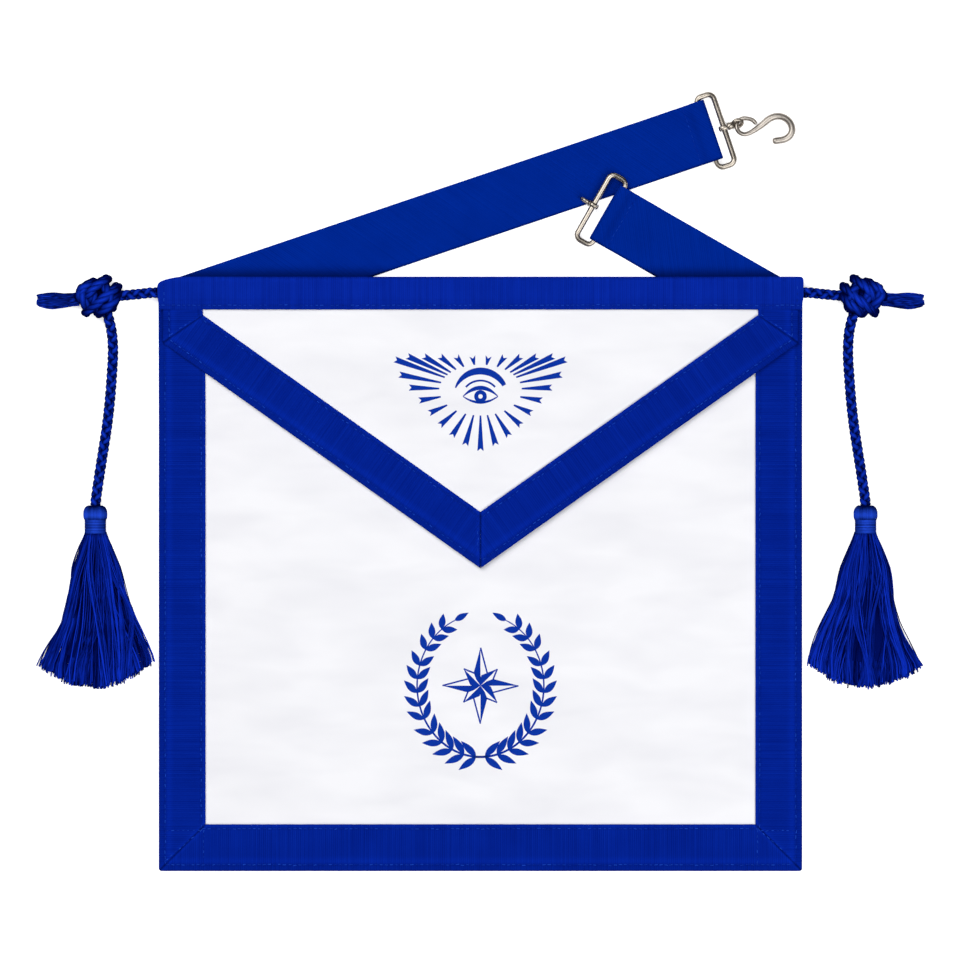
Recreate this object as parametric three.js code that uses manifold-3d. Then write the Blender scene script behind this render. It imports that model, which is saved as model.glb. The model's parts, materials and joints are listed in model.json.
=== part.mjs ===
// A lodge apron laid out flat: a white leather-like panel with a ribbon border, a pointed
// flap, a waistband with a tasselled draw cord, and a two-piece belt with a hook and an eye.
// Millimetres. X runs across the apron, Y up it, Z off the surface that it lies on, and the
// origin is the middle of the panel's flat back.
import * as THREE from "three";
import { mergeVertices } from "three/addons/utils/BufferGeometryUtils.js";
import Module from "manifold-3d";

const wasm = await Module();
wasm.setup();

// Clearance between pieces that touch
const GAP = 0.3;

// Apron body and its border
const APRON_WIDTH = 406;
const APRON_HEIGHT = 375;
const CORNER_RADIUS = 2.5;
const PANEL_THICKNESS = 1.2;
const RIBBON_WIDTH = 29.5;
const RIBBON_THICKNESS = 1;
// The panel leaves the waistband raised on the straps and meets the surface this far below
const PANEL_FALL_LENGTH = 83;

// Flap
const FLAP_THICKNESS = 1;
const FLAP_INSET = 2.8;
const FLAP_SIDE_LENGTH = 21.2;
const FLAP_LENGTH = 163.2;
const FLAP_RIBBON_WIDTH = 29;
const FLAP_SIDE_RIBBON_WIDTH = 25.3;

// Waistband, a tape folded over the top edge with the draw cord inside
const BAND_HEIGHT = 20.8;
const BAND_OVERHANG = 0.5;
const BAND_THICKNESS = 1;
const BAND_CORNER_RADIUS = 3;
const BAND_SEWN_HEIGHT = 6.4;
const BAND_SLOPE_HEIGHT = 2;
const CASING_CORD_WIDTH = 8.4;
const CASING_CORD_THICKNESS = 5;

// Belt straps, folded back at the band and sewn round a wire frame at the far end
const STRAP_WIDTH = 39;
const STRAP_THICKNESS = 1.2;
const STRAP_SEWN_LENGTH = 35;
const LONG_STRAP_ANGLE = 18.67;
const LONG_STRAP_REACH = 364.5;
const LONG_STRAP_DROP = 3.8;
const LONG_FOLD_INSET = 4.7;
const SHORT_STRAP_ANGLE = 150.25;
const SHORT_STRAP_REACH = 134.4;
const SHORT_STRAP_DROP = 6.1;
const SHORT_FOLD_INSET = 8.1;
const STITCH_SETBACK = 8.8;
const STRAP_TURN_UNDER = 4;
const STRAP_RISE_LENGTH = 22;
// A strap rises this far before whatever it climbs over
const STRAP_RISE_MARGIN = 2;

// Wire frames, swivels and hook
const FRAME_WIRE = 2.6;
const FRAME_DEPTH = 11.4;
const FRAME_LENGTH = 46.5;
const FRAME_CORNER_RADIUS = 3.8;
const FRAME_PLAY = 0.7;
const HOOK_FRAME_SETBACK = 5;
const EYE_FRAME_SETBACK = 3.3;
// The hook's frame has slid along its bar to the right of the strap's middle
const HOOK_FRAME_SLIDE = -1.6;
const BOSS_DIAMETER = 4.6;
const BOSS_LENGTH = 4;
const POST_DIAMETER = 1.8;
const RIVET_DIAMETER = 3.8;
const RIVET_LENGTH = 1.2;
const RIVET_TAPER = 0.7;
const RING_WIRE = 1.7;
const HOOK_RING_RADIUS = 3;
const HOOK_RING_TILT = 48;
const HOOK_BARREL_LENGTH = 3.7;
const EYE_RING_RADIUS = 2.6;
const EYE_RING_TILT = 90;
const EYE_BARREL_LENGTH = 0.8;
const BARREL_DIAMETER = 4;
const BARREL_TAPER = 0.8;
const HOOK_LOOP_WIRE = 2.2;
const HOOK_WIRE = 2.9;

// Draw cord and tassels. The left side mirrors the right one.
const CORD_DIAMETER = 6.5;
const TASSEL_ACROSS = 242.7;
const TASSEL_TOP = 43;
const TASSEL_HEAD_DIAMETER = 15.2;
const TASSEL_HEAD_LENGTH = 8.6;
const TASSEL_NECK_DIAMETER = 13.6;
const TASSEL_NECK_LENGTH = 8.8;
const SKIRT_LENGTH = 96.6;
const SKIRT_WIDTH = 71;
const SKIRT_THICKNESS = 15;
const SKIRT_LOCKS = 9;
const KNOT_ACROSS = 241.2;
const KNOT_UP = 175.2;
const KNOT_LENGTH = 31;
const KNOT_WIDTH = 27;
const KNOT_THICKNESS = 19;

// Routes of the cord from the waistband's mouth outwards: across, up, height
const SIDE_CORD_ROUTE = [
  [203.9, 177.4, 6.8],
  [208.5, 177.3, 7],
  [213.5, 176.7, 7.4],
  [218.5, 176.2, 7.9],
  [223.5, 175.7, 8.3],
  [228.5, 175.4, 8.5],
  [233.5, 175.2, 8.6],
  [238.5, 175, 8.5],
  [243.5, 174.6, 8.2],
  [248.5, 174.1, 7.6],
  [253.5, 173.4, 6.7],
  [258.5, 172.8, 5.6],
  [264, 172.4, 4.5],
  [269.5, 172.3, 3.8],
  [274.8, 172.4, 3.5],
  [280, 172.6, 3.4],
];
const TASSEL_CORD_ROUTE = [
  [235.4, 164.6, 8.2],
  [234.2, 160.6, 7.8],
  [233.1, 156.2, 7.1],
  [232.3, 151.2, 6.1],
  [231.9, 145.8, 5],
  [231.8, 140, 4.1],
  [232, 134, 3.6],
  [232.5, 126.5, 3.4],
  [233.1, 118, 3.4],
  [233.8, 109.5, 3.4],
  [234.8, 100, 3.4],
  [236, 90.5, 3.4],
  [237.4, 81.5, 3.5],
  [238.8, 72.5, 3.9],
  [240.1, 64, 4.8],
  [241.2, 56, 6],
  [242.1, 49.5, 7.1],
  [242.7, 43.5, 7.6],
];

// Bends of the hook as shares of its length, from the end of its closed loop to its tip:
// along the swivel's axis from the ring's middle, to the left of that axis, and up
const HOOK_LENGTH = 33.4;
const HOOK_BENDS = [
  { along: 0.322, left: -0.098, up: -0.01 },
  { along: 0.3, left: -0.042, up: -0.016 },
  { along: 0.232, left: 0.015, up: -0.02 },
  { along: 0.13, left: 0.056, up: -0.026 },
  { along: 0.046, left: 0.046, up: -0.026 },
  { along: -0.012, left: 0, up: 0 },
  { along: -0.04, left: -0.084, up: 0.026 },
  { along: -0.021, left: -0.175, up: 0.022 },
  { along: 0.056, left: -0.238, up: 0.012 },
  { along: 0.162, left: -0.244, up: 0 },
  { along: 0.27, left: -0.222, up: -0.012 },
  { along: 0.38, left: -0.19, up: -0.024 },
  { along: 0.488, left: -0.15, up: -0.034 },
  { along: 0.6, left: -0.11, up: -0.042 },
  { along: 0.72, left: -0.104, up: -0.046 },
  { along: 0.828, left: -0.144, up: -0.048 },
  { along: 0.914, left: -0.23, up: -0.049 },
  { along: 0.953, left: -0.346, up: -0.05 },
  { along: 0.935, left: -0.458, up: -0.05 },
  { along: 0.86, left: -0.538, up: -0.05 },
  { along: 0.75, left: -0.568, up: -0.05 },
  { along: 0.63, left: -0.553, up: -0.05 },
  { along: 0.52, left: -0.534, up: -0.05 },
];
// The wire thickens between these two bends, from the flattened loop to the round hook
const HOOK_THIN_BEND = 6;
const HOOK_THICK_BEND = 12;

// Outline of a tassel's skirt from its neck down: shares of its length, width and thickness
const SKIRT_SECTIONS = [
  { down: 0, width: 0.19, thickness: 0.88 },
  { down: 0.1, width: 0.32, thickness: 1 },
  { down: 0.3, width: 0.49, thickness: 1 },
  { down: 0.55, width: 0.68, thickness: 0.9 },
  { down: 0.8, width: 0.97, thickness: 0.72 },
  { down: 1, width: 0.98, thickness: 0.4 },
];
// How much shorter and thinner the outermost lock is than the middle one
const SKIRT_EDGE_RISE = 0.14;
const SKIRT_EDGE_THINNING = 0.25;
// Half a lock's width as a share of its even part of the skirt, so that locks overlap
const LOCK_FULLNESS = 0.85;
const LOCK_SIDES = 6;

// Outline of a tassel's head and neck from its top: share of the head's radius or the
// neck's, and share of the length of the piece that it belongs to
const HEAD_PROFILE = [
  { part: "head", radius: 0, down: 0 },
  { part: "head", radius: 0.45, down: 0 },
  { part: "head", radius: 0.75, down: 0.08 },
  { part: "head", radius: 1, down: 0.35 },
  { part: "head", radius: 1, down: 0.93 },
  { part: "neck", radius: 1, down: 0 },
  { part: "neck", radius: 1, down: 1 },
  { part: "neck", radius: 0, down: 1 },
];
const HEAD_SIDES = 14;

// Strands that cross the front of the knot, from lobe to lobe, as shares of half its size
const KNOT_STRANDS = [
  { outA: -0.42, upA: 0.78, outB: 0.5, upB: -0.74 },
  { outA: -0.84, upA: 0.42, outB: -0.02, upB: -0.78 },
  { outA: 0.13, upA: 0.62, outB: 0.84, upB: -0.28 },
  { outA: 0.56, upA: 0.34, outB: -0.56, upB: -0.56 },
  { outA: -0.86, upA: -0.04, outB: -0.4, upB: -0.66 },
];
const KNOT_STRAND_DIAMETER = 6.6;
// Height of such a strand from lobe to lobe, as a share of the knot's thickness
const KNOT_STRAND_ARCH = [
  { share: 0, height: 0.36 },
  { share: 0.12, height: 0.62 },
  { share: 0.5, height: 0.84 },
  { share: 0.88, height: 0.62 },
  { share: 1, height: 0.36 },
];
// Half sizes of the knot's hidden middle as shares of its size
const KNOT_CORE = { length: 0.38, width: 0.37, thickness: 0.47 };

// Levels above the surface, each piece resting on the one below
const ATTACHED_PLY = STRAP_THICKNESS + GAP;
const BAND_BACK = ATTACHED_PLY + STRAP_THICKNESS + GAP;
const PANEL_RISE = BAND_BACK + BAND_THICKNESS + GAP;
const RIBBON_LIFT = PANEL_THICKNESS + GAP;
const FLAP_LIFT = RIBBON_LIFT + RIBBON_THICKNESS + GAP;
const FLAP_RIBBON_LIFT = FLAP_LIFT + FLAP_THICKNESS + GAP;
const BAND_FRONT = PANEL_RISE + FLAP_RIBBON_LIFT;
const CASING_TOP = PANEL_RISE + CASING_CORD_THICKNESS + GAP;

const HALF_WIDTH = APRON_WIDTH / 2;
const TOP = APRON_HEIGHT / 2;
const BAND_LOW = TOP - BAND_HEIGHT;
const SHEET_TOP = BAND_LOW + BAND_SEWN_HEIGHT;
const EDGE_WRAP = RIBBON_THICKNESS + GAP;
const HIGH = 60;
// How far a cutting solid runs past what it cuts
const OVERRUN = 1;

// Solids and geometries
function bareGeometry(geometry) {
  const bare = geometry.index ? geometry.toNonIndexed() : geometry.clone();
  bare.deleteAttribute("normal");
  bare.deleteAttribute("uv");
  return mergeVertices(bare, 1e-4);
}

function signedVolume(geometry) {
  const position = geometry.getAttribute("position");
  const corner = [0, 1, 2].map(() => new THREE.Vector3());
  let volume = 0;
  for (let i = 0; i < geometry.index.count; i += 3) {
    corner.forEach((point, k) => point.fromBufferAttribute(position, geometry.index.getX(i + k)));
    volume += corner[0].dot(corner[1].cross(corner[2])) / 6;
  }
  return volume;
}

function facingOut(geometry) {
  const merged = bareGeometry(geometry);
  if (signedVolume(merged) < 0) {
    const order = merged.index.array;
    for (let i = 0; i < order.length; i += 3) {
      [order[i + 1], order[i + 2]] = [order[i + 2], order[i + 1]];
    }
  }
  return merged;
}

function solid(geometry) {
  const closed = facingOut(geometry);
  return new wasm.Manifold(
    new wasm.Mesh({
      numProp: 3,
      vertProperties: closed.getAttribute("position").array,
      triVerts: new Uint32Array(closed.index.array),
    })
  );
}

function geometryOf(manifold) {
  const mesh = manifold.getMesh();
  const geometry = new THREE.BufferGeometry();
  geometry.setAttribute("position", new THREE.BufferAttribute(mesh.vertProperties, 3));
  geometry.setIndex(new THREE.BufferAttribute(mesh.triVerts, 1));
  return geometry;
}

function joined(solids) {
  return solids.reduce((whole, piece) => whole.add(piece));
}

function shapeOf(points) {
  return new THREE.Shape(points.map(([x, y]) => new THREE.Vector2(x, y)));
}

// A plan outline drawn straight up through everything
function prism(shape) {
  const geometry = new THREE.ExtrudeGeometry(shape, {
    depth: 2 * HIGH,
    bevelEnabled: false,
    curveSegments: 4,
  });
  return solid(geometry.translate(0, 0, -HIGH));
}

// A section in Y and Z drawn out along X between two places
function acrossSection(shape, fromX, toX) {
  const geometry = new THREE.ExtrudeGeometry(shape, { depth: toX - fromX, bevelEnabled: false });
  const turn = new THREE.Matrix4().makeBasis(
    new THREE.Vector3(0, 1, 0),
    new THREE.Vector3(0, 0, 1),
    new THREE.Vector3(1, 0, 0)
  );
  geometry.applyMatrix4(turn);
  return geometry.translate(fromX, 0, 0);
}

// Skins four-sided or many-sided sections that follow each other
function loft(sections, closed = false) {
  const count = sections[0].length;
  const points = sections.flat().flatMap((p) => [p.x, p.y, p.z]);
  const index = [];
  const last = closed ? sections.length : sections.length - 1;
  for (let i = 0; i < last; i += 1) {
    const next = (i + 1) % sections.length;
    for (let k = 0; k < count; k += 1) {
      const m = (k + 1) % count;
      const a = i * count + k;
      const b = i * count + m;
      const c = next * count + m;
      const d = next * count + k;
      index.push(a, b, c, a, c, d);
    }
  }
  if (!closed) {
    const end = (sections.length - 1) * count;
    for (let k = 1; k < count - 1; k += 1) {
      index.push(0, k + 1, k, end, end + k, end + k + 1);
    }
  }
  const geometry = new THREE.BufferGeometry();
  geometry.setAttribute("position", new THREE.Float32BufferAttribute(points, 3));
  geometry.setIndex(index);
  return facingOut(geometry);
}

function circleShape(diameter, sides) {
  const points = [];
  for (let i = 0; i < sides; i += 1) {
    const angle = (2 * Math.PI * (i + 0.5)) / sides;
    points.push([(diameter / 2) * Math.cos(angle), (diameter / 2) * Math.sin(angle)]);
  }
  return shapeOf(points);
}

function tube(curve, diameter, steps, sides) {
  return facingOut(
    new THREE.ExtrudeGeometry(circleShape(diameter, sides), {
      steps,
      extrudePath: curve,
      bevelEnabled: false,
    })
  );
}

function mirrored(geometry) {
  return facingOut(geometry.clone().scale(-1, 1, 1));
}

// The apron's own rise towards the waistband, 0 where it lies on the surface
function riseAt(y) {
  const share = THREE.MathUtils.clamp((BAND_LOW - y) / PANEL_FALL_LENGTH, 0, 1);
  return PANEL_RISE * (1 - THREE.MathUtils.smoothstep(share, 0, 1));
}

function risingStations() {
  const stations = [-TOP - OVERRUN];
  const steps = 10;
  for (let i = 0; i <= steps; i += 1) {
    stations.push(BAND_LOW - PANEL_FALL_LENGTH * (1 - i / steps));
  }
  stations.push(TOP);
  return stations;
}

// A layer of the apron between two levels over the panel's back, cut by a plan outline
function layer(cutter, lower, upper) {
  const stations = risingStations();
  const under = stations.map((y) => [y, riseAt(y) + lower]);
  const over = stations.map((y) => [y, riseAt(y) + upper]).reverse();
  const strip = acrossSection(shapeOf([...under, ...over]), -APRON_WIDTH, APRON_WIDTH);
  return solid(strip).intersect(cutter);
}

// Plan outlines
function bodyOutline(inset) {
  const x = HALF_WIDTH - inset;
  const low = -TOP + inset;
  const radius = Math.max(CORNER_RADIUS - inset, GAP);
  const shape = new THREE.Shape();
  shape.moveTo(-x, SHEET_TOP);
  shape.lineTo(-x, low + radius);
  shape.absarc(-x + radius, low + radius, radius, Math.PI, 1.5 * Math.PI, false);
  shape.lineTo(x - radius, low);
  shape.absarc(x - radius, low + radius, radius, -Math.PI / 2, 0, false);
  shape.lineTo(x, SHEET_TOP);
  return shape;
}

const FLAP_HALF = HALF_WIDTH - FLAP_INSET;
const FLAP_CORNER = BAND_LOW - FLAP_SIDE_LENGTH;
const FLAP_APEX = BAND_LOW - FLAP_LENGTH;
const FLAP_SLOPE = (FLAP_CORNER - FLAP_APEX) / FLAP_HALF;
const FLAP_SLANT = Math.hypot(1, FLAP_SLOPE);

function flapOutline(inset, top) {
  const x = FLAP_HALF - inset;
  const apex = FLAP_APEX + inset * FLAP_SLANT;
  return shapeOf([
    [-x, top],
    [-x, apex + x * FLAP_SLOPE],
    [0, apex],
    [x, apex + x * FLAP_SLOPE],
    [x, top],
  ]);
}

// A ribbon lies on its sheet and turns down over the sheet's cut edge
function ribbonOn(outline, sheetOutline, innerOutline, sheetLevel, ribbonLevel) {
  const cutter = prism(outline).intersect(prism(sheetOutline));
  const edge = cutter.subtract(prism(innerOutline));
  const top = ribbonLevel + RIBBON_THICKNESS;
  return geometryOf(layer(cutter, ribbonLevel, top).add(layer(edge, sheetLevel, top)));
}

function edgeRibbon(points) {
  const inner = bodyOutline(RIBBON_THICKNESS);
  return ribbonOn(shapeOf(points), bodyOutline(0), inner, 0, RIBBON_LIFT);
}

function flapRibbon(points) {
  const sheet = flapOutline(0, BAND_LOW - GAP);
  const inner = flapOutline(RIBBON_THICKNESS, TOP);
  return ribbonOn(shapeOf(points), sheet, inner, FLAP_LIFT, FLAP_RIBBON_LIFT);
}

const MITRE_GAP = GAP * Math.SQRT1_2;

function bottomRibbonPoints() {
  const inner = -TOP + RIBBON_WIDTH;
  const x = HALF_WIDTH - MITRE_GAP;
  return [
    [-x, -TOP],
    [x, -TOP],
    [x - RIBBON_WIDTH, inner],
    [-x + RIBBON_WIDTH, inner],
  ];
}

function sideRibbonPoints() {
  return [
    [HALF_WIDTH - RIBBON_WIDTH, SHEET_TOP],
    [HALF_WIDTH - RIBBON_WIDTH, -TOP + RIBBON_WIDTH + MITRE_GAP],
    [HALF_WIDTH, -TOP + MITRE_GAP],
    [HALF_WIDTH, SHEET_TOP],
  ];
}

function flapInnerEdge(x) {
  return FLAP_APEX + x * FLAP_SLOPE + FLAP_RIBBON_WIDTH * FLAP_SLANT;
}

function flapRibbonPoints() {
  const corner = FLAP_HALF - FLAP_SIDE_RIBBON_WIDTH;
  const seam = GAP / 2;
  return [
    [seam, FLAP_APEX + seam * FLAP_SLOPE],
    [FLAP_HALF, FLAP_CORNER - MITRE_GAP],
    [corner, flapInnerEdge(corner) - MITRE_GAP],
    [seam, flapInnerEdge(seam)],
  ];
}

function flapSideRibbonPoints() {
  const corner = FLAP_HALF - FLAP_SIDE_RIBBON_WIDTH;
  return [
    [FLAP_HALF, FLAP_CORNER + MITRE_GAP],
    [FLAP_HALF, BAND_LOW],
    [corner, BAND_LOW],
    [corner, flapInnerEdge(corner) + MITRE_GAP],
  ];
}

// Waistband section: a back leg, a round fold at the top and a front leg over the cord
function bandSection(inset) {
  const back = BAND_BACK + inset;
  const front = BAND_FRONT + BAND_THICKNESS - inset;
  const crown = CASING_TOP + BAND_THICKNESS - inset;
  const radius = (crown - back) / 2;
  const centreY = TOP - inset - radius;
  const low = BAND_LOW - (inset ? OVERRUN : 0);
  const points = [[low, back]];
  const steps = 8;
  for (let i = 0; i <= steps; i += 1) {
    const angle = -Math.PI / 2 + (Math.PI * i) / steps;
    points.push([centreY + radius * Math.cos(angle), back + radius + radius * Math.sin(angle)]);
  }
  points.push([SHEET_TOP + GAP, crown], [SHEET_TOP - BAND_SLOPE_HEIGHT, front], [low, front]);
  return shapeOf(points);
}

function waistband() {
  const half = HALF_WIDTH + BAND_OVERHANG;
  const outer = solid(acrossSection(bandSection(0), -half, half));
  const hollow = solid(acrossSection(bandSection(BAND_THICKNESS), -half - OVERRUN, half + OVERRUN));
  const radius = BAND_CORNER_RADIUS;
  const ends = new THREE.Shape();
  ends.moveTo(-half, BAND_LOW);
  ends.lineTo(half, BAND_LOW);
  ends.absarc(half - radius, TOP - radius, radius, 0, Math.PI / 2);
  ends.absarc(-half + radius, TOP - radius, radius, Math.PI / 2, Math.PI);
  return geometryOf(outer.subtract(hollow).intersect(prism(ends)));
}

const CASING_CORD_Y = SHEET_TOP + GAP + CASING_CORD_WIDTH / 2;
const CASING_CORD_Z = PANEL_RISE + CASING_CORD_THICKNESS / 2;

function casingCord() {
  const points = [];
  const sides = 12;
  for (let i = 0; i < sides; i += 1) {
    const angle = (2 * Math.PI * i) / sides;
    points.push([
      CASING_CORD_Y + (CASING_CORD_WIDTH / 2) * Math.cos(angle),
      CASING_CORD_Z + (CASING_CORD_THICKNESS / 2) * Math.sin(angle),
    ]);
  }
  const half = HALF_WIDTH + BAND_OVERHANG - GAP;
  return acrossSection(shapeOf(points), -half, half);
}

// Belt straps. A plan direction at an angle in degrees
function direction(degrees) {
  const angle = THREE.MathUtils.degToRad(degrees);
  return new THREE.Vector3(Math.cos(angle), Math.sin(angle), 0);
}

const LOOP_RADIUS = FRAME_WIRE / 2 + FRAME_PLAY;
const EYE_RING_REACH = EYE_RING_RADIUS + RING_WIRE / 2;

const LONG_STRAP = {
  fold: foldPlace(-1, LONG_FOLD_INSET, LONG_STRAP_DROP),
  angle: LONG_STRAP_ANGLE,
  attachedAngle: 180,
  reach: LONG_STRAP_REACH,
  setback: HOOK_FRAME_SETBACK,
  slide: HOOK_FRAME_SLIDE,
  loopLevel: 0,
};

const SHORT_STRAP = {
  fold: foldPlace(1, SHORT_FOLD_INSET, SHORT_STRAP_DROP),
  angle: SHORT_STRAP_ANGLE,
  attachedAngle: 0,
  reach: SHORT_STRAP_REACH,
  setback: EYE_FRAME_SETBACK,
  slide: 0,
  // The eye stands on edge on the long strap, which sets the height of its frame
  loopLevel: GAP + EYE_RING_REACH - LOOP_RADIUS,
};

// The middle of a strap's fold, from its distances below the top and in from the side
function foldPlace(side, inset, drop) {
  return new THREE.Vector3(side * (HALF_WIDTH - inset), TOP - drop - STRAP_WIDTH / 2, 0);
}

function barHeight(strap) {
  return strap.loopLevel + STRAP_THICKNESS + LOOP_RADIUS;
}

function barPlace(strap) {
  return strap.fold
    .clone()
    .addScaledVector(direction(strap.angle), strap.reach - strap.setback)
    .addScaledVector(direction(strap.angle + 90), strap.slide)
    .setZ(barHeight(strap));
}

// How far along the short strap its upper edge first reaches over the long strap
function crossingOnShortStrap() {
  const over = direction(LONG_STRAP.angle + 90);
  const along = direction(SHORT_STRAP.angle);
  const side = direction(SHORT_STRAP.angle - 90).multiplyScalar(STRAP_WIDTH / 2);
  const start = SHORT_STRAP.fold.clone().add(side).sub(LONG_STRAP.fold);
  return (-STRAP_WIDTH / 2 - start.dot(over)) / along.dot(over);
}

// Height of the strap's lower face along its length from the fold at the band
function strapHeight(strap, along) {
  const stitches = strap.reach - strap.setback - STITCH_SETBACK;
  const plyEnd = stitches - STRAP_TURN_UNDER;
  const lifted = strap.loopLevel + STRAP_THICKNESS + GAP;
  const open = strap.loopLevel + STRAP_THICKNESS + 2 * LOOP_RADIUS;
  const liftEnd = strap === SHORT_STRAP ? Math.min(plyEnd, crossingOnShortStrap()) : plyEnd;
  const { smoothstep } = THREE.MathUtils;
  const top = liftEnd - STRAP_RISE_MARGIN;
  const first = smoothstep(along, top - STRAP_RISE_LENGTH, top);
  const second = smoothstep(along, stitches, strap.reach - strap.setback - LOOP_RADIUS);
  return lifted * first + (open - lifted) * second;
}

function upTo(height) {
  return new THREE.Vector3(0, 0, height);
}

// A point on the strap's left or right edge, in plan, this far from its fold
function strapEdge(strap, side, along) {
  return strap.fold
    .clone()
    .addScaledVector(direction(strap.angle + 90), (side * STRAP_WIDTH) / 2)
    .addScaledVector(direction(strap.angle), along);
}

// A cut across the strap: its two edges, moved to the first and then to the second face
function strapCut(edgeAt, first, second) {
  return [
    edgeAt(1).add(first),
    edgeAt(-1).add(first),
    edgeAt(-1).add(second),
    edgeAt(1).add(second),
  ];
}

// How far the slanted fold leans along the strap at its edge
function foldSlant(strap) {
  const foldAngle = (strap.attachedAngle - strap.angle) / 2;
  return STRAP_WIDTH / 2 / Math.tan(THREE.MathUtils.degToRad(foldAngle));
}

// The ply sewn behind the waistband, and the bend in which the strap leaves it
function foldCuts(strap) {
  const back = direction(strap.attachedAngle).negate();
  const foldAngle = (strap.angle + strap.attachedAngle) / 2;
  const outward = direction(strap.attachedAngle > 90 ? foldAngle + 90 : foldAngle - 90);
  const inside = GAP / 2;
  const outside = STRAP_THICKNESS + inside;
  const foldEdge = (side) => strapEdge(strap, side, side * foldSlant(strap));
  const sewnEnd = (side) => foldEdge(side).addScaledVector(back, STRAP_SEWN_LENGTH);
  const cuts = [strapCut(sewnEnd, upTo(ATTACHED_PLY + STRAP_THICKNESS), upTo(ATTACHED_PLY))];
  const steps = 6;
  for (let i = 0; i <= steps; i += 1) {
    const angle = Math.PI * (1 - i / steps);
    const offset = (radius) => upTo(outside - radius * Math.cos(angle))
      .addScaledVector(outward, radius * Math.sin(angle));
    cuts.push(strapCut(foldEdge, offset(outside), offset(inside)));
  }
  return cuts;
}

// The long upper ply, whose cuts lose the fold's slant before the strap starts to climb
function plyCuts(strap, loopCentre) {
  const straight = Math.max(strap.reach - 60, 30);
  const places = [straight / 2];
  const steps = 25;
  for (let i = 0; i <= steps; i += 1) {
    places.push(THREE.MathUtils.lerp(straight, loopCentre, i / steps));
  }
  return places.map((along) => {
    const skew = foldSlant(strap) * Math.max(0, 1 - along / straight);
    const height = strapHeight(strap, along);
    const edgeAt = (side) => strapEdge(strap, side, along + side * skew);
    return strapCut(edgeAt, upTo(height), upTo(height + STRAP_THICKNESS));
  });
}

// The turn round the wire, and the ply turned under and sewn down
function loopCuts(strap, loopCentre) {
  const cuts = [];
  const steps = 8;
  for (let i = 1; i <= steps; i += 1) {
    const angle = (Math.PI * i) / steps;
    const offset = (radius) => upTo(barHeight(strap) + radius * Math.cos(angle))
      .addScaledVector(direction(strap.angle), radius * Math.sin(angle));
    const edgeAt = (side) => strapEdge(strap, side, loopCentre);
    cuts.push(strapCut(edgeAt, offset(LOOP_RADIUS), offset(LOOP_RADIUS + STRAP_THICKNESS)));
  }
  const plyEnd = strap.reach - strap.setback - STITCH_SETBACK - STRAP_TURN_UNDER;
  const endEdge = (side) => strapEdge(strap, side, plyEnd);
  cuts.push(strapCut(endEdge, upTo(strap.loopLevel + STRAP_THICKNESS), upTo(strap.loopLevel)));
  return cuts;
}

function strapGeometry(strap) {
  const loopCentre = strap.reach - LOOP_RADIUS - STRAP_THICKNESS;
  return loft([
    ...foldCuts(strap),
    ...plyCuts(strap, loopCentre),
    ...loopCuts(strap, loopCentre),
  ]);
}

// Wire hardware, in the strap's own frame: X along the strap from the bar in its fold,
// Y to the left, Z up, and the bar's middle at the origin
function rod(fromX, toX, fromDiameter, toDiameter = fromDiameter, sides = 12) {
  const cylinder = new THREE.CylinderGeometry(toDiameter / 2, fromDiameter / 2, toX - fromX, sides);
  cylinder.rotateZ(-Math.PI / 2);
  return solid(cylinder.translate((fromX + toX) / 2, 0, 0));
}

function frameGeometry() {
  const radius = FRAME_CORNER_RADIUS;
  const corners = [
    { x: FRAME_DEPTH - radius, y: FRAME_LENGTH / 2 - radius, start: 0 },
    { x: radius, y: FRAME_LENGTH / 2 - radius, start: 90 },
    { x: radius, y: -FRAME_LENGTH / 2 + radius, start: 180 },
    { x: FRAME_DEPTH - radius, y: -FRAME_LENGTH / 2 + radius, start: 270 },
  ];
  const sections = [];
  const steps = 4;
  const sides = 8;
  for (const corner of corners) {
    for (let i = 0; i <= steps; i += 1) {
      const normal = direction(corner.start + (90 * i) / steps);
      const centre = new THREE.Vector3(corner.x, corner.y, 0).addScaledVector(normal, radius);
      const ring = [];
      for (let k = 0; k < sides; k += 1) {
        const angle = (2 * Math.PI * (k + 0.5)) / sides;
        const point = centre.clone().addScaledVector(normal, (FRAME_WIRE / 2) * Math.cos(angle));
        ring.push(point.setZ((FRAME_WIRE / 2) * Math.sin(angle)));
      }
      sections.push(ring);
    }
  }
  const boss = rod(FRAME_DEPTH - BOSS_LENGTH / 2, FRAME_DEPTH + BOSS_LENGTH / 2, BOSS_DIAMETER);
  const bore = rod(0, 2 * FRAME_DEPTH, POST_DIAMETER + 2 * GAP)
    .intersect(rod(FRAME_DEPTH - BOSS_LENGTH, FRAME_DEPTH + BOSS_LENGTH, BOSS_DIAMETER));
  return geometryOf(solid(loft(sections, true)).add(boss).subtract(bore));
}

function ringPlace(ringRadius, barrelLength) {
  const barrelEnd = FRAME_DEPTH + BOSS_LENGTH / 2 + GAP + barrelLength;
  return barrelEnd + ringRadius;
}

function swivelGeometry(ringRadius, tilt, barrelLength) {
  const bossStart = FRAME_DEPTH - BOSS_LENGTH / 2 - GAP;
  const bossEnd = FRAME_DEPTH + BOSS_LENGTH / 2 + GAP;
  const barrelEnd = bossEnd + barrelLength + RING_WIRE / 4;
  const middle = ringPlace(ringRadius, barrelLength);
  const ring = new THREE.TorusGeometry(ringRadius, RING_WIRE / 2, 8, 16);
  ring.rotateX(THREE.MathUtils.degToRad(tilt));
  return geometryOf(
    joined([
      rod(bossStart - RIVET_LENGTH, bossStart, RIVET_DIAMETER * RIVET_TAPER, RIVET_DIAMETER),
      rod(bossStart - RIVET_LENGTH / 2, bossEnd + RING_WIRE / 4, POST_DIAMETER),
      rod(bossEnd, barrelEnd, BARREL_DIAMETER, BARREL_DIAMETER * BARREL_TAPER),
      solid(ring.translate(middle, 0, 0)),
    ])
  );
}

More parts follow.
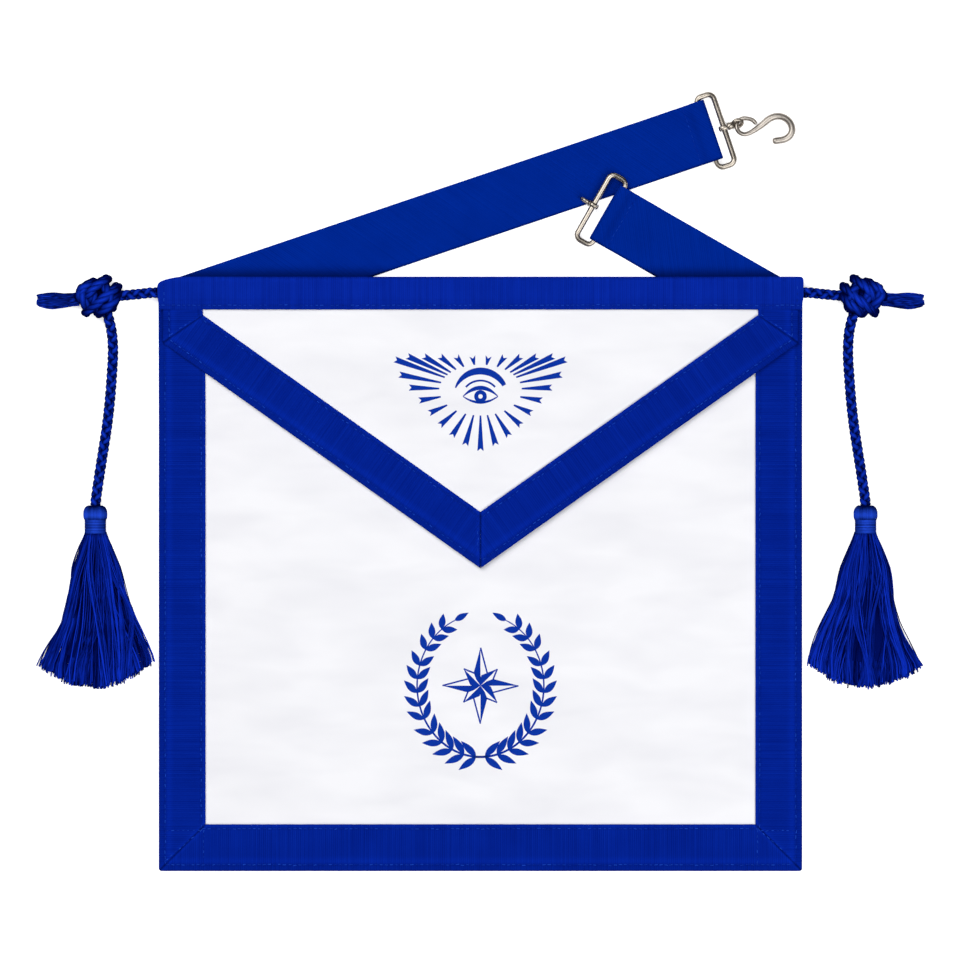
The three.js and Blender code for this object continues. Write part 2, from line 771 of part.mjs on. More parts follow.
function hookGeometry() {
  const middle = ringPlace(HOOK_RING_RADIUS, HOOK_BARREL_LENGTH);
  const points = HOOK_BENDS.map(
    (bend) => new THREE.Vector3(
      middle + bend.along * HOOK_LENGTH,
      bend.left * HOOK_LENGTH,
      bend.up * HOOK_LENGTH
    )
  );
  const curve = new THREE.CatmullRomCurve3(points, false, "centripetal");
  const steps = 2 * HOOK_BENDS.length;
  const frames = curve.computeFrenetFrames(steps, false);
  const sides = 8;
  const sections = [];
  for (let i = 0; i <= steps; i += 1) {
    const centre = curve.getPointAt(i / steps);
    const thick = THREE.MathUtils.smoothstep(i / 2, HOOK_THIN_BEND, HOOK_THICK_BEND);
    const radius = THREE.MathUtils.lerp(HOOK_LOOP_WIRE, HOOK_WIRE, thick) / 2;
    const ring = [];
    for (let k = 0; k < sides; k += 1) {
      const angle = (2 * Math.PI * k) / sides;
      ring.push(
        centre
          .clone()
          .addScaledVector(frames.normals[i], radius * Math.cos(angle))
          .addScaledVector(frames.binormals[i], radius * Math.sin(angle))
      );
    }
    sections.push(ring);
  }
  return loft(sections);
}

// Draw cord, knots and tassels, on the right side
function route(points) {
  return new THREE.CatmullRomCurve3(points.map((p) => new THREE.Vector3(...p)));
}

const SIDE_CORD = route(SIDE_CORD_ROUTE);
const TASSEL_CORD = route(TASSEL_CORD_ROUTE);
const CORD_SIDES = 8;

function cordTube(curve, points, diameter = CORD_DIAMETER) {
  return tube(curve, diameter, points.length, CORD_SIDES);
}

function knotStrand(strand) {
  const points = KNOT_STRAND_ARCH.map(({ share, height }) => {
    const out = THREE.MathUtils.lerp(strand.outA, strand.outB, share);
    const up = THREE.MathUtils.lerp(strand.upA, strand.upB, share);
    return new THREE.Vector3(
      KNOT_ACROSS + (out * KNOT_LENGTH) / 2,
      KNOT_UP + (up * KNOT_WIDTH) / 2,
      height * KNOT_THICKNESS
    );
  });
  return solid(tube(new THREE.CatmullRomCurve3(points), KNOT_STRAND_DIAMETER, 6, CORD_SIDES));
}

function knotGeometry() {
  const core = new THREE.SphereGeometry(1, 14, 8);
  core.scale(
    KNOT_LENGTH * KNOT_CORE.length,
    KNOT_WIDTH * KNOT_CORE.width,
    KNOT_THICKNESS * KNOT_CORE.thickness
  );
  core.translate(KNOT_ACROSS, KNOT_UP, KNOT_THICKNESS / 2);
  const wide = CORD_DIAMETER / Math.cos(Math.PI / CORD_SIDES) + 2 * GAP;
  const bore = solid(cordTube(SIDE_CORD, SIDE_CORD_ROUTE, wide));
  const socket = solid(cordTube(TASSEL_CORD, TASSEL_CORD_ROUTE, wide));
  const lumps = KNOT_STRANDS.map(knotStrand);
  return geometryOf(joined([solid(core), ...lumps]).subtract(bore).subtract(socket));
}

function tasselHeadGeometry() {
  const head = TASSEL_HEAD_DIAMETER / 2;
  const neck = TASSEL_NECK_DIAMETER / 2;
  const outline = HEAD_PROFILE.map(({ part, radius, down }) => (
    part === "head"
      ? new THREE.Vector2(radius * head, -down * TASSEL_HEAD_LENGTH)
      : new THREE.Vector2(radius * neck, -TASSEL_HEAD_LENGTH - down * TASSEL_NECK_LENGTH)
  ));
  const lathe = new THREE.LatheGeometry(outline.reverse(), HEAD_SIDES);
  lathe.rotateY(Math.PI / HEAD_SIDES);
  return facingOut(lathe.translate(TASSEL_ACROSS, TASSEL_TOP, head));
}

function skirtLock(place) {
  const top = TASSEL_TOP - TASSEL_HEAD_LENGTH - TASSEL_NECK_LENGTH - GAP;
  const length = SKIRT_LENGTH * (1 - SKIRT_EDGE_RISE * place * place);
  const sections = SKIRT_SECTIONS.map(({ down, width, thickness }) => {
    const wide = (LOCK_FULLNESS * width * SKIRT_WIDTH) / SKIRT_LOCKS;
    const x = TASSEL_ACROSS + place * ((width * SKIRT_WIDTH) / 2 - wide);
    const flat = 1 - SKIRT_EDGE_THINNING * Math.abs(place);
    const tall = (thickness * SKIRT_THICKNESS * flat) / 2;
    const sink = tall * Math.cos(Math.PI / LOCK_SIDES);
    const ring = [];
    for (let k = 0; k < LOCK_SIDES; k += 1) {
      const angle = (2 * Math.PI * (k + 0.5)) / LOCK_SIDES;
      const side = x + wide * Math.sin(angle);
      ring.push(new THREE.Vector3(side, top - down * length, sink + tall * Math.cos(angle)));
    }
    return ring;
  });
  return solid(loft(sections));
}

function skirtGeometry() {
  const locks = [];
  for (let i = 0; i < SKIRT_LOCKS; i += 1) {
    locks.push(skirtLock((2 * i) / (SKIRT_LOCKS - 1) - 1));
  }
  return geometryOf(joined(locks));
}

// Materials and the assembly
const white = new THREE.MeshStandardMaterial({ color: 0xf5f6f8, roughness: 0.55, metalness: 0 });
const ribbonBlue = new THREE.MeshStandardMaterial({ color: 0x021c8a, roughness: 0.7, metalness: 0 });
const strapBlue = new THREE.MeshStandardMaterial({ color: 0x002091, roughness: 0.75, metalness: 0 });
const cordBlue = new THREE.MeshStandardMaterial({ color: 0x04198a, roughness: 0.6, metalness: 0 });
const nickel = new THREE.MeshStandardMaterial({ color: 0xc8beb2, roughness: 0.25, metalness: 1 });

const apron = new THREE.Group();

function add(name, geometry, material, parent = apron) {
  geometry.computeVertexNormals();
  const mesh = new THREE.Mesh(geometry, material);
  mesh.name = name;
  parent.add(mesh);
  return mesh;
}

function addPair(name, geometry, material) {
  add(`${name}_right`, geometry, material);
  add(`${name}_left`, mirrored(geometry), material);
}

add("apron_panel", geometryOf(layer(prism(bodyOutline(EDGE_WRAP)), 0, PANEL_THICKNESS)), white);
add("edge_ribbon_bottom", edgeRibbon(bottomRibbonPoints()), ribbonBlue);
addPair("edge_ribbon", edgeRibbon(sideRibbonPoints()), ribbonBlue);

const flapSheet = layer(prism(flapOutline(EDGE_WRAP, SHEET_TOP)), FLAP_LIFT, FLAP_LIFT + FLAP_THICKNESS);
add("flap_panel", geometryOf(flapSheet), white);
addPair("flap_ribbon", flapRibbon(flapRibbonPoints()), ribbonBlue);
addPair("flap_ribbon_side", flapRibbon(flapSideRibbonPoints()), ribbonBlue);

add("waistband", waistband(), ribbonBlue);
add("casing_cord", casingCord(), cordBlue);

add("long_strap", strapGeometry(LONG_STRAP), strapBlue);
add("short_strap", strapGeometry(SHORT_STRAP), strapBlue);

function addHardware(strap, name, ringRadius, tilt, barrelLength) {
  const group = new THREE.Group();
  group.position.copy(barPlace(strap));
  group.rotation.z = THREE.MathUtils.degToRad(strap.angle);
  add(`${name}_frame`, frameGeometry(), nickel, group);
  add(`${name}_swivel`, swivelGeometry(ringRadius, tilt, barrelLength), nickel, group);
  apron.add(group);
  return group;
}

const hookGroup = addHardware(
  LONG_STRAP,
  "hook",
  HOOK_RING_RADIUS,
  HOOK_RING_TILT,
  HOOK_BARREL_LENGTH
);
add("hook", hookGeometry(), nickel, hookGroup);
addHardware(SHORT_STRAP, "eye", EYE_RING_RADIUS, EYE_RING_TILT, EYE_BARREL_LENGTH);

addPair("side_cord", cordTube(SIDE_CORD, SIDE_CORD_ROUTE), cordBlue);
addPair("tassel_cord", cordTube(TASSEL_CORD, TASSEL_CORD_ROUTE), cordBlue);
addPair("knot", knotGeometry(), cordBlue);
addPair("tassel_head", tasselHeadGeometry(), cordBlue);
addPair("tassel_skirt", skirtGeometry(), cordBlue);

export default apron;
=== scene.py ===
# %% [markdown]
# # A lodge apron, laid out flat
# The real thing is sewn from white imitation lambskin with a border of royal blue ribbon. A
# pointed flap folds over its top, a draw cord with two tassels runs through its waistband,
# and a belt of webbing closes with a snake hook and an eye.
# The solids of the frame give every place and size. This lesson dresses them, one kind of
# work at a time: cord, thread, cloth, webbing, wire and print.

# %% Frame, units and sizes read from the solids
import json
import math
import random

import bpy
import numpy as np
from mathutils import Matrix, Vector, noise


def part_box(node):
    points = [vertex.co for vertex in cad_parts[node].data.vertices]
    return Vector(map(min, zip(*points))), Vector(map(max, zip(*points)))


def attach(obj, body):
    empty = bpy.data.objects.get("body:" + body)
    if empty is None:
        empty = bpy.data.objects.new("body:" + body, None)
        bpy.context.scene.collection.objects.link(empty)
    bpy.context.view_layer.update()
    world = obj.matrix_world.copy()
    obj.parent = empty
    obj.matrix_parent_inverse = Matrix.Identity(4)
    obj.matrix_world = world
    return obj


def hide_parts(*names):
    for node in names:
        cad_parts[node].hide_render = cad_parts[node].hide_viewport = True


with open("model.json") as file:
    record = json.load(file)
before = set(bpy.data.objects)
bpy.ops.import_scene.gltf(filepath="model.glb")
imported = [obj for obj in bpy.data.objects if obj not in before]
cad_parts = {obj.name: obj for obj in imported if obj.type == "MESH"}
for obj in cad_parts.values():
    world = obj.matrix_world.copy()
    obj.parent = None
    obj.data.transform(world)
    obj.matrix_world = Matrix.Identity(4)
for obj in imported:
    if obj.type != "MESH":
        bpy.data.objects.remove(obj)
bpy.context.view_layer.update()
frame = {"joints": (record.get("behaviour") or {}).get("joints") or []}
MM = 0.001
GAP = 0.3 * MM


def low_corner(node):
    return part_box(node)[0]


def high_corner(node):
    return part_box(node)[1]


HALF_WIDTH = high_corner("edge_ribbon_right").x
BASE = low_corner("edge_ribbon_bottom").y
RIBBON_WIDTH = high_corner("edge_ribbon_bottom").y - BASE
BAND_LOW = low_corner("waistband").y
TOP = high_corner("waistband").y
BAND_BACK = low_corner("waistband").z
BAND_CROWN = high_corner("waistband").z
BAND_END = high_corner("waistband").x
SHEET_TOP = high_corner("apron_panel").y
PANEL_RISE = low_corner("casing_cord").z
FALL_LENGTH = 83 * MM  # below the waistband, the panel comes down to the surface over this
PANEL_THICKNESS = 1.2 * MM
CLOTH = 1 * MM
RIBBON_LIFT = PANEL_THICKNESS + GAP
FLAP_LIFT = low_corner("flap_panel").z
FLAP_RIBBON_LIFT = FLAP_LIFT + CLOTH + GAP
FLAP_HALF = high_corner("flap_ribbon_side_right").x
print("apron", round(2 * HALF_WIDTH, 4), "by", round(TOP - BASE, 4), "m")

# %% [markdown]
# ## Camera, floor and light
# The apron was photographed from straight above under very soft light, with almost no
# shadow. A long lens high over the cloth keeps its straight edges straight. The sky is
# bright overhead and dim at the horizon, which gives the bright wire its dark outlines.

# %% Camera
VIEW_WIDTH = 606.1 * MM
VIEW_CENTRE = Vector((-0.3 * MM, 59.3 * MM, 0))
LENS = 250
SENSOR = 36

camera_data = bpy.data.cameras.new("camera")
camera_data.lens = LENS
camera_data.sensor_width = SENSOR
camera = bpy.data.objects.new("camera", camera_data)
camera.location = VIEW_CENTRE + Vector((0, 0, VIEW_WIDTH * LENS / SENSOR))
bpy.context.scene.collection.objects.link(camera)
bpy.context.scene.camera = camera
bpy.context.scene.view_settings.view_transform = "Standard"
print("camera height", round(camera.location.z, 3))

# %% Helpers for colours and nodes


def linear(hex_colour):
    """An sRGB colour such as "1A2B3C" as linear red, green, blue and alpha."""
    parts = [int(hex_colour[i : i + 2], 16) / 255 for i in (0, 2, 4)]
    return tuple(((c + 0.055) / 1.055) ** 2.4 if c > 0.04045 else c / 12.92 for c in parts) + (1,)


def fill_sockets(tree, node, inputs):
    """Sets sockets by name or number, each to a value or from another socket."""
    for name, value in inputs.items():
        if isinstance(value, bpy.types.NodeSocket):
            tree.links.new(value, node.inputs[name])
        else:
            node.inputs[name].default_value = value


def add_node(tree, kind, inputs=None, **settings):
    """Adds a node with its settings, and fills its sockets."""
    made = tree.nodes.new(kind)
    for name, value in settings.items():
        setattr(made, name, value)
    fill_sockets(tree, made, inputs or {})
    return made


def new_finish(name, sockets):
    """A material with these sockets of its shader set, then its node tree and its shader."""
    made = bpy.data.materials.new(name)
    made.use_nodes = True
    tree = made.node_tree
    shader = tree.nodes["Principled BSDF"]
    fill_sockets(tree, shader, sockets)
    return made, tree, shader


# %% Floor
FLOOR_HALF = 3
FLOOR_DROP = 0.1 * MM  # so that the floor and what lies on it don't share a plane
floor_mesh = bpy.data.meshes.new("floor")
floor_corners = [(-FLOOR_HALF, -FLOOR_HALF, 0), (FLOOR_HALF, -FLOOR_HALF, 0),
                 (FLOOR_HALF, FLOOR_HALF, 0), (-FLOOR_HALF, FLOOR_HALF, 0)]
floor_mesh.from_pydata(floor_corners, [], [(0, 1, 2, 3)])
floor = bpy.data.objects.new("floor", floor_mesh)
floor.location.z = -FLOOR_DROP
bpy.context.scene.collection.objects.link(floor)

# The studio's paper glows a little, as if lit from below, so that shadows on it nearly vanish.
paper, _, _ = new_finish("studio_paper", {
    "Base Color": linear("FDFDFD"), "Roughness": 0.9, "Specular IOR Level": 0.1,
    "Emission Color": linear("FFFFFF"), "Emission Strength": 0.6,
})
floor_mesh.materials.append(paper)
print("floor", 2 * FLOOR_HALF, "m wide")

# %% Sky and lamps
SKY_AT_HORIZON = 0.35
SKY_OVERHEAD = 1.6
SOFTBOX_WIDTH = 2.4
KEY_WATTS = 57.8
FILL_WATTS = 52.6

world = bpy.data.worlds.new("studio")
bpy.context.scene.world = world
world.use_nodes = True
sky = world.node_tree
direction_in = add_node(sky, "ShaderNodeTexCoord")
split = add_node(sky, "ShaderNodeSeparateXYZ", {0: direction_in.outputs["Generated"]})
fade = add_node(sky, "ShaderNodeMapRange", {0: split.outputs["Z"], 1: 0.0, 2: 0.75,
                                            3: SKY_AT_HORIZON, 4: SKY_OVERHEAD})
sky.links.new(fade.outputs[0], sky.nodes["Background"].inputs["Strength"])


def softbox(name, place, power):
    light = bpy.data.lights.new(name, "AREA")
    light.shape = "DISK"
    light.size = SOFTBOX_WIDTH
    light.energy = power
    lamp = bpy.data.objects.new(name, light)
    lamp.location = place
    lamp.rotation_euler = (-Vector(place)).to_track_quat("-Z", "Y").to_euler()
    bpy.context.scene.collection.objects.link(lamp)


softbox("key_softbox", (-1.0, 1.1, 2.3), KEY_WATTS)
softbox("fill_softbox", (1.2, -1.0, 2.2), FILL_WATTS)
print("two softboxes of", KEY_WATTS, "and", FILL_WATTS, "W")

# %% [markdown]
# ## From points to pieces
# Most pieces here are swept or woven by code. A heap gathers points and faces, and one
# function turns it into an object that rides on its body, in metres, with its own finish.

# %% Heap of points and faces
CREASE_ANGLE = math.radians(50)  # faces that meet at more than this keep a sharp edge


class Heap:
    """Points, faces, a pattern coordinate in metres and a shade from 0 to 1 for each point, which the
    finishes use for painted light and shade as well as for each part's own tone.
    """

    def __init__(self):
        self.points = []
        self.faces = []
        self.uvs = []
        self.shades = []

    def add(self, points, faces, uvs=None, shade=0.5):
        start = len(self.points)
        self.points.extend(points)
        self.faces.extend([tuple(start + i for i in face) for face in faces])
        self.uvs.extend(uvs if uvs is not None else [(0, 0)] * len(points))
        self.shades.extend(shade if isinstance(shade, list) else [shade] * len(points))


def make_piece(name, heap, material, body="apron", replaces=()):
    """An object from a heap, which rides on its body and stands for its node of the frame."""
    mesh = bpy.data.meshes.new(name)
    mesh.from_pydata([tuple(p) for p in heap.points], [], heap.faces)
    mesh.materials.append(material)
    corners = np.empty(len(mesh.loops), dtype=np.int32)
    mesh.loops.foreach_get("vertex_index", corners)
    layer = mesh.uv_layers.new(name="pattern")
    layer.data.foreach_set("uv", np.array(heap.uvs, dtype=np.float32)[corners].ravel())
    shade = mesh.attributes.new("shade", "FLOAT", "POINT")
    shade.data.foreach_set("value", np.array(heap.shades, dtype=np.float32))
    mesh.polygons.foreach_set("use_smooth", [True] * len(mesh.polygons))
    mesh.set_sharp_from_angle(angle=CREASE_ANGLE)
    piece = bpy.data.objects.new(name, mesh)
    bpy.context.scene.collection.objects.link(piece)
    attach(piece, body)
    if replaces:
        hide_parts(*replaces)
    print(name, len(mesh.polygons), "faces")
    return piece


def skin_faces(rows, columns, closed_rows=False):
    """Quads over rings of points that follow each other, with flat ends unless it closes."""
    faces = []
    for i in range(rows if closed_rows else rows - 1):
        for k in range(columns):
            a, b = i * columns, (i + 1) % rows * columns
            faces.append((a + k, a + (k + 1) % columns, b + (k + 1) % columns, b + k))
    if not closed_rows:
        last = (rows - 1) * columns
        faces.append(tuple(reversed(range(columns))))
        faces.append(tuple(range(last, last + columns)))
    return faces


# %% Smooth paths
CURVE_PARTS = 16  # a curve is this many short chords between two of its given points


def smooth_path(points, step, closed=False):
    """Even points, about one step apart, on a smooth curve through the given ones."""
    control = [Vector(p) for p in points]
    count = len(control)
    dense = []
    for i in range(count if closed else count - 1):
        if closed:
            a, b, c, d = (control[(i + k) % count] for k in (-1, 0, 1, 2))
        else:
            b, c = control[i], control[i + 1]
            a = control[i - 1] if i else b * 2 - c
            d = control[i + 2] if i + 2 < count else c * 2 - b
        for k in range(CURVE_PARTS):
            t = k / CURVE_PARTS
            dense.append(0.5 * (2 * b + (c - a) * t + (2 * a - 5 * b + 4 * c - d) * t**2
                                + (3 * b - a - 3 * c + d) * t**3))
    dense.append(control[0].copy() if closed else control[-1].copy())
    lengths = np.concatenate([[0], np.cumsum([(q - p).length for p, q in zip(dense, dense[1:])])])
    steps = max(3, round(lengths[-1] / step))
    wanted = np.linspace(0, lengths[-1], steps + 1)
    flat = np.array([tuple(p) for p in dense])
    even = np.stack([np.interp(wanted, lengths, flat[:, axis]) for axis in range(3)], axis=1)
    return even[:-1] if closed else even


# %% Sweeping a strand along a path


def distances_along(path):
    return np.concatenate([[0], np.cumsum(np.linalg.norm(np.diff(path, axis=0), axis=1))])


def frames_along(path, closed=False):
    """Tangent, side and lift at each point, turned as little as can be from one to the next."""
    count = len(path)
    if closed:
        tangents = np.roll(path, -1, axis=0) - np.roll(path, 1, axis=0)
    else:
        tangents = np.gradient(path, axis=0)
    tangents /= np.linalg.norm(tangents, axis=1)[:, None]
    start = np.cross((0, 0, 1), tangents[0])
    if np.linalg.norm(start) < 0.1:
        start = np.cross((0, 1, 0), tangents[0])
    sides = [start / np.linalg.norm(start)]
    for i in range(1, count):
        side = sides[-1] - tangents[i] * np.dot(sides[-1], tangents[i])
        sides.append(side / np.linalg.norm(side))
    sides = np.array(sides)
    lifts = np.cross(tangents, sides)
    if closed:
        last = sides[-1] - tangents[0] * np.dot(sides[-1], tangents[0])
        twist = math.atan2(np.dot(np.cross(last, sides[0]), tangents[0]), np.dot(last, sides[0]))
        angles = np.linspace(0, twist, count)[:, None]
        turned = sides * np.cos(angles) + lifts * np.sin(angles)
        lifts = lifts * np.cos(angles) - sides * np.sin(angles)
        sides = turned
    return tangents, sides, lifts


def sweep(heap, path, radii, sides=8, closed=False, shade=0.5, flat=1.0):
    """A round wire or strand along a path; flat is its height as a share of its width."""
    path = np.asarray(path, dtype=float)
    shades = np.repeat(np.broadcast_to(np.asarray(shade, dtype=float), (len(path),)), sides).tolist()
    radii = np.broadcast_to(np.asarray(radii, dtype=float), (len(path),))
    _, side, lift = frames_along(path, closed)
    angles = 2 * np.pi * (np.arange(sides) + 0.5) / sides
    ring = (np.cos(angles)[None, :, None] * side[:, None, :]
            + flat * np.sin(angles)[None, :, None] * lift[:, None, :])
    points = path[:, None, :] + radii[:, None, None] * ring
    along = distances_along(path)
    around = np.abs(np.arange(sides) - sides / 2) / sides * 2 * np.pi * radii.mean()
    uvs = np.stack(np.broadcast_arrays(along[:, None], around[None, :]), axis=-1).reshape(-1, 2)
    heap.add(points.reshape(-1, 3).tolist(), skin_faces(len(path), sides, closed), uvs.tolist(), shades)


# %% [markdown]
# ## Draw cord
# The real cord is a soft round plait of rayon, four fat strands that pass over and under
# each other. It could be a plain tube with a bump, but its edge is visibly scalloped, so
# each strand is swept on its own winding path. Cords come first, because the rest of the
# scene is arranged around where they lie. Their routes are the same points as the frame's.

# %% [markdown]
# ### Rayon finish
# Filament rayon is spun from smooth, shiny fibres, which gives the eye broad soft highlights
# on a deep colour: a strand is brightest along its crest and near black down its flanks. One
# blue with a gloss would shine in spots, so these are painted: the tone carries a painted
# highlight on each crest and painted shade down each flank, by the way that the surface
# faces, along with the fibres along it and the shade that each strand was given.

# %% Rayon finish for cord and tassels
FIBRE_PITCH = 0.5 * MM  # real fibres are finer than a pixel, so bundles of them are drawn
FIBRE_LENGTH = 1 / 60
RAYON_RANGE = 1.1  # from the darkest to the lightest mixed tone


def rayon_material(name, dark, light, roughness, deepest):
    """Fibres along the strand; deepest is the mixed tone that comes out darkest."""
    made, tree, shader = new_finish(name, {"Roughness": roughness, "Specular IOR Level": 0})
    place = add_node(tree, "ShaderNodeUVMap", uv_map="pattern")
    stretch = add_node(tree, "ShaderNodeMapping",
                       {"Vector": place.outputs[0], "Scale": (1 / FIBRE_LENGTH, 1 / FIBRE_PITCH, 1)})
    fibres = add_node(tree, "ShaderNodeTexNoise",
                      {"Vector": stretch.outputs[0], "Scale": 1.0, "Detail": 2.0})
    shade = add_node(tree, "ShaderNodeAttribute", attribute_name="shade")
    mixed = add_node(tree, "ShaderNodeMath", {0: fibres.outputs[0], 1: shade.outputs["Fac"]},
                     operation="ADD")
    # Painted light: by the way that the surface faces, a painted highlight along each crest and painted
    # shade down each flank.
    solid = add_node(tree, "ShaderNodeTexCoord")
    facing = add_node(tree, "ShaderNodeSeparateXYZ", {0: solid.outputs["Normal"]})
    painted_flank_shade = add_node(tree, "ShaderNodeMapRange",
                     {0: facing.outputs[2], 1: 0.1, 2: 1.0, 3: -0.5, 4: 0.12})
    painted_crest_highlight = add_node(tree, "ShaderNodeMapRange",
                     {0: facing.outputs[2], 1: 0.88, 2: 1.0, 3: 0.0, 4: 0.22})
    lit = add_node(tree, "ShaderNodeMath", {0: mixed.outputs[0], 1: painted_flank_shade.outputs[0]},
                   operation="ADD")
    tone_with_painted_light = add_node(tree, "ShaderNodeMath", {0: lit.outputs[0], 1: painted_crest_highlight.outputs[0]},
                       operation="ADD")
    depth = add_node(tree, "ShaderNodeMapRange",
                     {0: tone_with_painted_light.outputs[0], 1: deepest, 2: deepest + RAYON_RANGE})
    colour = add_node(tree, "ShaderNodeMix", {0: depth.outputs[0], 6: linear(dark), 7: linear(light)},
                      data_type="RGBA")
    bump = add_node(tree, "ShaderNodeBump",
                    {"Strength": 0.35, "Distance": 0.1 * MM, "Height": fibres.outputs[0]})
    fill_sockets(tree, shader, {"Base Color": colour.outputs[2], "Normal": bump.outputs[0]})
    return made


cord_rayon = rayon_material("braided_rayon", "00063E", "1238CC", 0.45, 0.75)
tassel_rayon = rayon_material("loose_rayon", "00053C", "1036D4", 0.36, 0.95)
wound_rayon = rayon_material("wound_rayon", "00083F", "2450E2", 0.36, 0.66)
print("three rayon finishes, with fibres", FIBRE_PITCH / MM, "mm apart")

# %% The plait
CORD_DIAMETER = 6.5 * MM
PLAIT_PITCH = 14.4 * MM
PLAIT_STRANDS = 2  # each way round
STRAND_SHARE = 0.235  # a strand's radius as a share of the cord's thickness
STRAND_MIDDLE = 0.92
STRAND_CROSSING = 0.24  # how far a strand swings out and in where it crosses another
CROSSING_SHADE = 0.42


def plait(heap, path, wide, tall):
    """Four strands that wind round a path, two each way, over and under each other."""
    _, side, lift = frames_along(path)
    turn = 2 * np.pi * distances_along(path) / PLAIT_PITCH
    strand = STRAND_SHARE * (wide + tall) / 2
    for way in (1, -1):
        for k in range(PLAIT_STRANDS):
            angle = way * turn + 2 * np.pi * k / PLAIT_STRANDS + (np.pi / 2 if way < 0 else 0)
            over = STRAND_MIDDLE + STRAND_CROSSING * way * np.sin(2 * turn)
            across = (wide / 2 - strand) * over * np.cos(angle)
            up = (tall / 2 - strand) * over * np.sin(angle)
            centre = path + side * across[:, None] + lift * up[:, None]
            # Painted shade: a strand is darker where it passes under another and lighter where it lies
            # over.
            shade = CROSSING_SHADE + CROSSING_SHADE * way * np.sin(2 * turn)
            sweep(heap, centre, strand, 8, shade=shade)


# %% Side cords and tassel cords
SIDE_CORD_ROUTE = [
    (0.2039, 0.1774, 0.0068),
    (0.2085, 0.1773, 0.0070),
    (0.2135, 0.1767, 0.0074),
    (0.2185, 0.1762, 0.0079),
    (0.2235, 0.1757, 0.0083),
    (0.2285, 0.1754, 0.0085),
    (0.2335, 0.1752, 0.0086),
    (0.2385, 0.1750, 0.0085),
    (0.2435, 0.1746, 0.0082),
    (0.2485, 0.1741, 0.0076),
    (0.2535, 0.1734, 0.0067),
    (0.2585, 0.1728, 0.0056),
    (0.2640, 0.1724, 0.0045),
    (0.2695, 0.1723, 0.0038),
    (0.2748, 0.1724, 0.0035),
    (0.2800, 0.1726, 0.0034),
]
TASSEL_CORD_ROUTE = [
    (0.2354, 0.1646, 0.0082),
    (0.2342, 0.1606, 0.0078),
    (0.2331, 0.1562, 0.0071),
    (0.2323, 0.1512, 0.0061),
    (0.2319, 0.1458, 0.0050),
    (0.2318, 0.1400, 0.0041),
    (0.2320, 0.1340, 0.0036),
    (0.2325, 0.1265, 0.0034),
    (0.2331, 0.1180, 0.0034),
    (0.2338, 0.1095, 0.0034),
    (0.2348, 0.1000, 0.0034),
    (0.2360, 0.0905, 0.0034),
    (0.2374, 0.0815, 0.0035),
    (0.2388, 0.0725, 0.0039),
    (0.2401, 0.0640, 0.0048),
    (0.2412, 0.0560, 0.0060),
    (0.2421, 0.0495, 0.0071),
    (0.2427, 0.0435, 0.0076),
]
CORD_STEP = 0.7 * MM
SIDES = {"right": 1, "left": -1}


def mirrored(points, sign):
    return [(sign * x, y, z) for x, y, z in points]


def path_length(path):
    return float(np.linalg.norm(np.diff(path, axis=0), axis=1).sum())


# %% The frayed tail
# Half its width and half its height in mm, by the share of its length
TAIL_LENGTH = 27.5 * MM
TAIL_WIDTH = [(0.0, 4.2), (0.35, 4.2), (0.62, 5.0), (0.76, 5.0), (0.9, 4.3), (1.0, 3.2)]
TAIL_HEIGHT = [(0.0, 3.2), (0.6, 3.3), (0.9, 2.9), (1.0, 2.2)]
TAIL_FIBRES = 120
TAIL_FIBRE_RADIUS = 0.5 * MM
TAIL_POINTS = 13
GOLDEN_ANGLE = 2.39996  # each fibre's turn past the last, which spreads them evenly


def from_table(table, share):
    return float(np.interp(share, [row[0] for row in table], [row[1] for row in table]))


def tail_brush(heap, route, draw):
    """Loose fibres that spread from the plait's end and gather in three blunt clumps."""
    shares = np.linspace(0, 1, len(route))
    start = 1 - TAIL_LENGTH / path_length(route)
    for k in range(TAIL_FIBRES):
        radius = math.sqrt((k + 0.5) / TAIL_FIBRES)
        angle = GOLDEN_ANGLE * k
        blunt = 0.93 + 0.075 * abs(math.cos(1.5 * angle)) * radius + draw.uniform(-0.015, 0.015)
        points = []
        for i in range(TAIL_POINTS):
            share = min(1.0, blunt) * i / (TAIL_POINTS - 1)
            at = start + (1 - start) * share
            centre = [np.interp(at, shares, route[:, axis]) for axis in range(3)]
            across = from_table(TAIL_WIDTH, share) * MM * radius * math.cos(angle)
            up = from_table(TAIL_HEIGHT, share) * MM * radius * math.sin(angle)
            waver = 0.25 * MM * math.sin(9 * share + k)
            rise = max(TAIL_FIBRE_RADIUS, centre[2] + up)
            points.append((centre[0], centre[1] + across + waver, rise))
        crimp = [draw.uniform(0.1, 0.85) for _ in points]
        sweep(heap, points, TAIL_FIBRE_RADIUS, 5, shade=np.array(crimp))


# %% Cord pieces
CORD_WIDE = 7 * MM  # the plait's leaves stand a little proud of the plain cord
PLAITED_SHARE = 0.72  # of a side cord; the rest is its tail
tail_draw = random.Random(7)


def cord_piece(name, points, sign, tail=False):
    """A cord on its given route, with a frayed tail at its far end or none."""
    route = smooth_path(mirrored(points, sign), CORD_STEP)
    plaited = round(len(route) * PLAITED_SHARE) if tail else len(route)
    heap = Heap()
    plait(heap, route[:plaited], CORD_WIDE, CORD_DIAMETER)
    if tail:
        tail_brush(heap, route, tail_draw)
    piece = make_piece(f"{name}_plait", heap, cord_rayon, replaces=[name])


for side_name, sign in SIDES.items():
    cord_piece(f"side_cord_{side_name}", SIDE_CORD_ROUTE, sign, tail=True)
    cord_piece(f"tassel_cord_{side_name}", TASSEL_CORD_ROUTE, sign)

